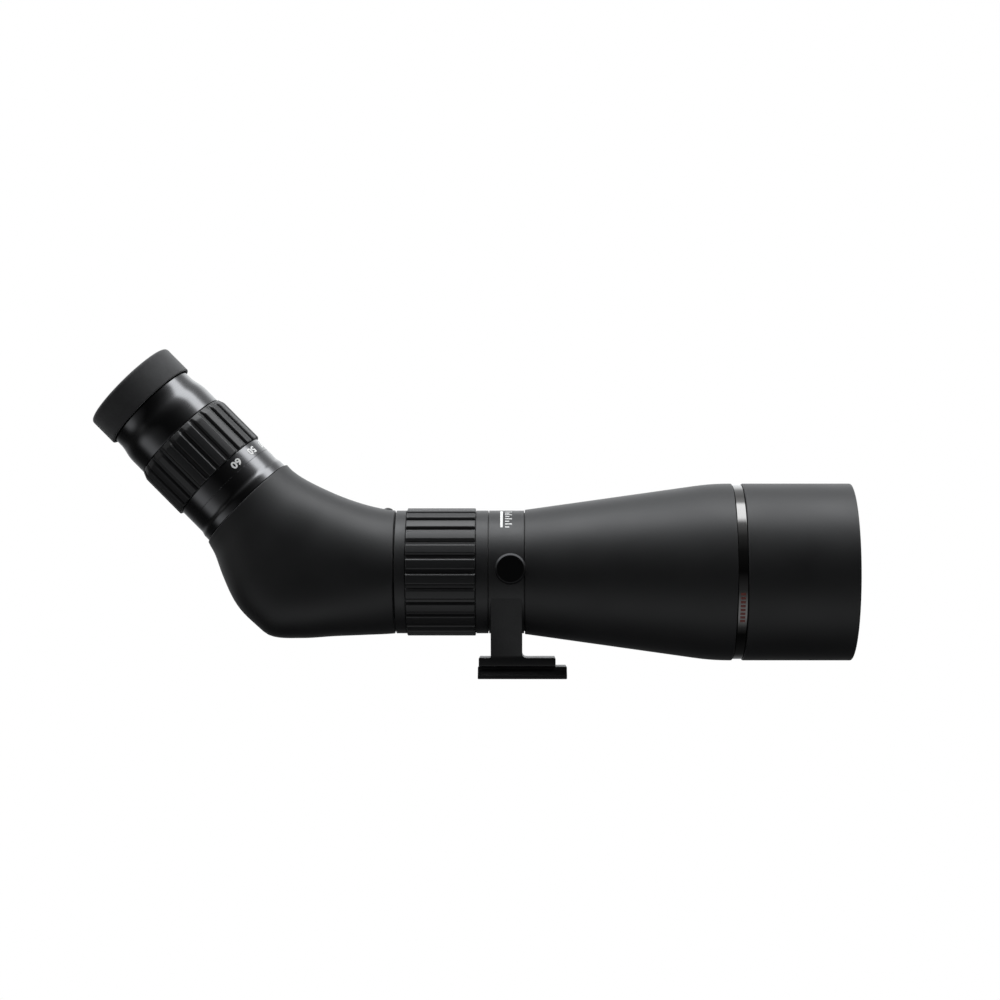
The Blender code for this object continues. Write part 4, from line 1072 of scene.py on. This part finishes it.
def foot_screw(label, top):
    """A socket screw in the foot; returns the tool that cuts its counterbored hole."""
    node_name = "foot_screw_" + label
    axis = upright_axis(node_name)
    start, end, radius = extent(node_name, axis)
    head = turned(rounded([(start, 0, 0), (start, radius, 0.35), (HEAD_HEIGHT, radius, 0.2),
                           (HEAD_HEIGHT, SHANK_RADIUS, 0), (end, SHANK_RADIUS, 0.3),
                           (end, 0, 0)]), STEEL, SMALL_ROUND)
    outward(head)
    socket = prism([(HEX_RADIUS * cos(radians(60 * n)), HEX_RADIUS * sin(radians(60 * n)))
                    for n in range(6)], start - OVERCUT, start + HEX_DEPTH)
    add_piece("foot_screw_socket_" + label, shaped(head, [socket]), axis, STEEL, (node_name,))
    wide = radius + HOLE_CLEARANCE
    narrow = SHANK_RADIUS + HOLE_CLEARANCE
    step = HEAD_HEIGHT + HOLE_CLEARANCE
    return turned_tool([(0, -OVERCUT), (wide, -OVERCUT), (wide, step), (narrow, step),
                        (narrow, top + OVERCUT), (0, top + OVERCUT)], axis, SMALL_ROUND)


def tripod_bush(top):
    """The threaded bush in the foot; returns the tool that cuts its hole."""
    sides = SMALL_ROUND * 2
    axis = upright_axis("tripod_bush")
    start, end, radius = extent("tripod_bush", axis)
    mouth = THREAD_RADIUS + 0.4
    outline = [Vector((radius, start)), Vector((radius, end)), Vector((mouth, end))]
    height = end - 0.3
    while height > start + 0.9:
        outline += [Vector((THREAD_RADIUS, height - 0.1)), Vector((THREAD_RADIUS, height - 0.25)),
                    Vector((THREAD_RADIUS + THREAD_DEPTH, height - THREAD_PITCH / 2 - 0.1))]
        height -= THREAD_PITCH
    outline.append(Vector((mouth, start)))
    add_piece("tripod_bush_threaded", turned(outline, STEEL, sides), axis, STEEL,
              ("tripod_bush",))
    hole = radius + HOLE_CLEARANCE
    return turned_tool([(0, -OVERCUT), (hole, -OVERCUT), (hole, top + OVERCUT),
                        (0, top + OVERCUT)], axis, sides)


def lock_knob():
    """The knurled thumb knob with a bright-edged chamfer."""
    start, end, radius = extent("lock_knob", LOCK)
    _, stud_end, stud_radius = extent("lock_stud", LOCK)
    root = radius - KNURL_HEIGHT
    hole = stud_radius + HOLE_CLEARANCE
    hole_end = stud_end + HOLE_CLEARANCE
    rim = end - KNOB_RIM
    body = turned(rounded([(start, hole, 0), (start, radius - KNOB_CHAMFER, 0.3),
                           (start + KNOB_CHAMFER, root, 0.2), (rim, root, 0.2),
                           (rim + 0.05, radius, 0.1), (end - FACE_CHAMFER, radius, 0.25),
                           (end, radius - FACE_CHAMFER, 0.3), (end, 0, 0), (hole_end, 0, 0),
                           (hole_end, hole, 0)]), KNOB)
    half = pi / KNURLS * KNURL_SHARE
    tooth = []
    for height in (start + KNOB_CHAMFER + 0.05, rim - 0.05):
        tooth.append([((radius - drop) * cos(turn), (radius - drop) * sin(turn), height)
                      for turn, drop in ((-half, 0.8), (-half, KNURL_HEIGHT), (-half * 0.3, 0.02),
                                         (half * 0.3, 0.02), (half, KNURL_HEIGHT), (half, 0.8))])
    knurl = round_the_axis(skinned(tooth), KNURLS, KNOB)
    outward(knurl)
    outward(body)
    add_piece("lock_knob_knurled", joined([body, knurl]), LOCK, KNOB, ("lock_knob",))


# ---------------------------------------------------------------- eyepiece

def eyepiece_base():
    """The flanged base and the long sleeve that the zoom ring turns on."""
    start, end, radius = extent("eyepiece_base", EYE)
    band_start, _, band = extent("zoom_ring", EYE)
    face = start + SPIGOT_LENGTH
    top = band_start - BAND_GAP
    turned_piece("eyepiece_base_turned", "eyepiece_base", EYE,
                 [(start, SLEEVE_BORE, 0), (start, SPIGOT_RADIUS, 0.3), (face, SPIGOT_RADIUS, 0),
                  (face, radius, 0.3), (face + FLANGE_LENGTH, radius, 0.8),
                  (face + FLANGE_LENGTH + FLANGE_TAPER, band, 0.9), (top, band, 0.06),
                  (top, SLEEVE_RADIUS, 0), (end, SLEEVE_RADIUS, 0.3), (end, SLEEVE_BORE, 0.3)],
                 GLOSS_EYE)


def zoom_ring():
    """Number band and the core under the zoom rubber, with its printed numbers."""
    start, end, radius = extent("zoom_ring", EYE)
    shoulder = extent("zoom_grip", EYE)[0] - GRIP_GAP
    bore = SLEEVE_RADIUS + CLEARANCE
    turned_piece("zoom_band", "zoom_ring", EYE,
                 [(start, bore, 0), (start, radius, 0.06), (shoulder, radius, 0.2),
                  (shoulder, ZOOM_CORE, 0), (end, ZOOM_CORE, 0.2), (end, bore, 0)],
                 GLOSS_EYE)
    base_end = start - BAND_GAP
    mark_start, mark_end = (base_end - reach for reach in INDEX_MARK)
    for number, angle in ZOOM_MARKS:
        label = number_on_band(str(number), radius, start + DIGIT_HEIGHT, angle)
        add_piece(f"zoom_number_{number}", label, EYE, WHITE_INK, rides_with="zoom_ring")
    index = curved_patch(radius, mark_start, mark_end, *INDEX_ARC)
    add_piece("zoom_index_mark", index, EYE, WHITE_INK, rides_with="eyepiece_base")


def number_on_band(text, radius, height, angle):
    """A printed number bent round a turned band, its top towards the housing."""
    curve = bpy.data.curves.new("number", "FONT")
    curve.body = text
    curve.size = DIGIT_SIZE
    curve.align_x = "CENTER"
    curve.align_y = "CENTER"
    curve.extrude = INK
    curve.offset = DIGIT_WEIGHT
    curve.resolution_u = 4
    holder = bpy.data.objects.new("number", curve)
    bpy.context.scene.collection.objects.link(holder)
    mesh = evaluated(holder)
    for vertex in mesh.vertices:
        across, up, out = vertex.co
        turn = radians(angle) - across * DIGIT_STRETCH / radius
        reach = radius + 0.02 + out
        vertex.co = (reach * cos(turn), reach * sin(turn), height - up)
    work = bmesh.new()
    work.from_mesh(mesh)
    bmesh.ops.remove_doubles(work, verts=work.verts, dist=0.001)
    work.to_mesh(mesh)
    work.free()
    return mesh


def eyepiece_barrel():
    """The polished upper barrel that narrows to the neck below the eyecup."""
    start, end, radius = extent("eyepiece_barrel", EYE)
    sleeve_end = extent("eyepiece_base", EYE)[1] + 0.8
    neck_end = extent("eyecup_rubber", EYE)[0] - NECK_GAP
    taper = start + BARREL_STRAIGHT
    seat = extent("eye_lens", EYE)[0] + EYE_SEAT
    bore = SLEEVE_RADIUS + CLEARANCE
    turned_piece("eyepiece_barrel_turned", "eyepiece_barrel", EYE,
                 [(start, bore, 0), (start, radius, 0.3), (taper, radius, 2.8),
                  (taper + BARREL_TAPER, NECK_RADIUS, 2.6), (neck_end, NECK_RADIUS, 0.3),
                  (neck_end, BARREL_MOUTH, 0), (end, BARREL_MOUTH, 0.3), (end, EYE_CELL, 0.4),
                  (seat, EYE_CELL, 0), (seat, EYE_SEAT_HOLE, 0), (sleeve_end, EYE_SEAT_HOLE, 0),
                  (sleeve_end, bore, 0)], GLOSS_EYE)
    start, end, radius = extent("eye_lens_retainer", EYE)
    turned_piece("eye_lens_lock_ring", "eye_lens_retainer", EYE,
                 [(start, radius - 2.2, 0), (start, radius, 0.1), (end, radius, 0.15),
                  (end, radius - 0.8, 0.1)], INNER, ROUND)


def eyecup():
    """The twist-up cup: cam ring, sleeve and soft rubber."""
    cam_wall, sleeve_wall = THIN_WALL
    start, end, radius = extent("eyecup_cam_ring", EYE)
    bore = radius - cam_wall
    turned_piece("eyecup_cam", "eyecup_cam_ring", EYE,
                 [(start, bore, 0), (start, radius, 0.1), (end, radius, 0.1), (end, bore, 0)],
                 INNER, ROUND)
    start, end, radius = extent("eyecup_sleeve", EYE)
    bore = radius - sleeve_wall
    under = end - SLEEVE_TOP
    turned_piece("eyecup_inner_sleeve", "eyecup_sleeve", EYE,
                 [(start, bore, 0.1), (start, radius, 0.2), (end, radius, 0.2),
                  (end, SLEEVE_HOLE, 0.3), (under, SLEEVE_HOLE, 0.3), (under, bore, 0)],
                 INNER, ROUND)
    start, end, radius = extent("eyecup_rubber", EYE)
    seat = end - EYECUP_SEAT
    turned_piece("eyecup_soft_rubber", "eyecup_rubber", EYE,
                 [(start, EYECUP_BORE, 0.2), (start, radius, 0.45), (end, radius, 1.7),
                  (end, EYECUP_MOUTH, 1.0), (seat + 0.3, EYECUP_SEAT_HOLE, 0.4),
                  (seat, EYECUP_SEAT_HOLE + 0.1, 0.1), (seat, EYECUP_BORE, 0)], CUP)


# ---------------------------------------------------------------- build

front_shell()
accent_ring()
accent_marks()
hood()
hood_felt()
objective_parts()
lenses()
focus_ring_core()
ribbed_grips()
prism_housing()
housing_fittings()
tripod_collar()
collar_marks()
foot()
lock_knob()
eyepiece_base()
zoom_ring()
eyepiece_barrel()
eyecup()

for node_name, cad_node in frame["nodes"].items():
    if not cad_node.hide_render:
        cad_node.data.materials.clear()
        cad_node.data.materials.append(finish_of_slot[slot_of_node[node_name]])


# ---------------------------------------------------------------- studio

# Brightness round the X axis: angle from straight up towards the back, radiance
STUDIO_LIGHT = (
    (-180, 0.01), (-168, 0.1), (-152, 0.75), (-136, 0.66), (-116, 0.12), (-90, 0.01),
    (-62, 0.03), (-42, 0.12), (-22, 0.55), (-14, 5.4), (10, 5.6), (15, 1.2), (28, 0.65),
    (46, 0.8), (58, 1.8), (88, 1.1), (100, 0.3), (130, 0.04), (180, 0.01),
)
BRIGHTEST = 5.6
SOFTBOX_TINT = (0.98, 1.0, 1.02)  # a slightly cool white
# Where the plain end walls take over from the strips, and their light from low to high
END_WALL_START = (0.78, 0.92)
END_WALL_HEIGHT = (-0.3, 0.35)
END_WALL_LIGHT = (0.03, 0.9)

# In metres
TRIPOD_HEIGHT = 1.5               # from the floor to the foot
FLOOR_REACH = 6.0
CAMERA_PLACE = (0.008, -1.341, 0.056)
CAMERA_AIM = (-0.0035, 0.0, 0.0958)
LENS_LENGTH = 89.46               # millimetres
SENSOR_WIDTH = 36.0


def studio_light():
    """A strip softbox overhead, a bright backdrop behind, a weak low fill and plain end walls."""
    world = bpy.data.worlds.new("studio")
    bpy.context.scene.world = world
    world.use_nodes = True
    tree = world.node_tree
    tree.nodes.clear()
    way = add_node(tree, "ShaderNodeSeparateXYZ",
                   {0: add_node(tree, "ShaderNodeTexCoord").outputs["Generated"]})
    angle = add_node(tree, "ShaderNodeMath", {0: way.outputs["Y"], 1: way.outputs["Z"]},
                     operation="ARCTAN2")
    part = add_node(tree, "ShaderNodeMapRange", {"Value": angle.outputs[0], "From Min": -pi,
                                                 "From Max": pi})
    ramp = add_node(tree, "ShaderNodeValToRGB", {0: part.outputs[0]})
    stops = ramp.color_ramp.elements
    while len(stops) > 1:
        stops.remove(stops[-1])
    for index, (turn, light) in enumerate(STUDIO_LIGHT):
        stop = stops[0] if index == 0 else stops.new((turn + 180) / 360)
        stop.position = (turn + 180) / 360
        stop.color = [light / BRIGHTEST * share for share in SOFTBOX_TINT] + [1.0]
    lit = add_node(tree, "ShaderNodeBackground", {"Color": ramp.outputs[0],
                                                  "Strength": BRIGHTEST})
    (low, high), (dim, bright) = END_WALL_HEIGHT, END_WALL_LIGHT
    height = add_node(tree, "ShaderNodeMapRange",
                      {"Value": way.outputs["Z"], "From Min": low, "From Max": high,
                       "To Min": dim, "To Max": bright}, interpolation_type="SMOOTHSTEP")
    wall = add_node(tree, "ShaderNodeBackground", {"Strength": height.outputs[0]})
    along = add_node(tree, "ShaderNodeMath", {0: way.outputs["X"]}, operation="ABSOLUTE")
    begin, full = END_WALL_START
    end_on = add_node(tree, "ShaderNodeMapRange", {"Value": along.outputs[0],
                                                   "From Min": begin, "From Max": full})
    room = add_node(tree, "ShaderNodeMixShader", {0: end_on.outputs[0], 1: lit.outputs[0],
                                                  2: wall.outputs[0]})
    white = add_node(tree, "ShaderNodeBackground", {"Color": (1, 1, 1, 1), "Strength": 1.0})
    ray = add_node(tree, "ShaderNodeLightPath")
    mixed = add_node(tree, "ShaderNodeMixShader", {0: ray.outputs["Is Camera Ray"],
                                                   1: room.outputs[0], 2: white.outputs[0]})
    add_node(tree, "ShaderNodeOutputWorld", {0: mixed.outputs[0]})


def studio_floor():
    """A plain white floor under a standing tripod's height, which adds no light from below."""
    mesh = bpy.data.meshes.new("floor")
    reach = FLOOR_REACH
    mesh.from_pydata([(-reach, -reach, 0), (reach, -reach, 0), (reach, reach, 0),
                      (-reach, reach, 0)], [], [(0, 1, 2, 3)])
    paper = bpy.data.materials.new("white_backdrop_paper")
    paper.use_nodes = True
    tree = paper.node_tree
    tree.nodes.clear()
    glow = add_node(tree, "ShaderNodeEmission", {"Color": (1, 1, 1, 1), "Strength": 1.0})
    add_node(tree, "ShaderNodeOutputMaterial", {0: glow.outputs[0]})
    mesh.materials.append(paper)
    floor = bpy.data.objects.new("floor", mesh)
    bpy.context.scene.collection.objects.link(floor)
    floor.location.z = -TRIPOD_HEIGHT
    floor.visible_diffuse = False
    floor.visible_glossy = False
    floor.visible_shadow = False
    floor.visible_transmission = False


def camera():
    """A long lens level with the scope, from its near side."""
    data = bpy.data.cameras.new("camera")
    data.lens = LENS_LENGTH
    data.sensor_width = SENSOR_WIDTH
    data.dof.use_dof = False
    made = bpy.data.objects.new("camera", data)
    bpy.context.scene.collection.objects.link(made)
    made.location = CAMERA_PLACE
    aim = Vector(CAMERA_AIM) - made.location
    made.rotation_euler = aim.to_track_quat("-Z", "Y").to_euler()
    bpy.context.scene.camera = made


studio_light()
studio_floor()
camera()
bpy.context.scene.view_settings.view_transform = "Standard"
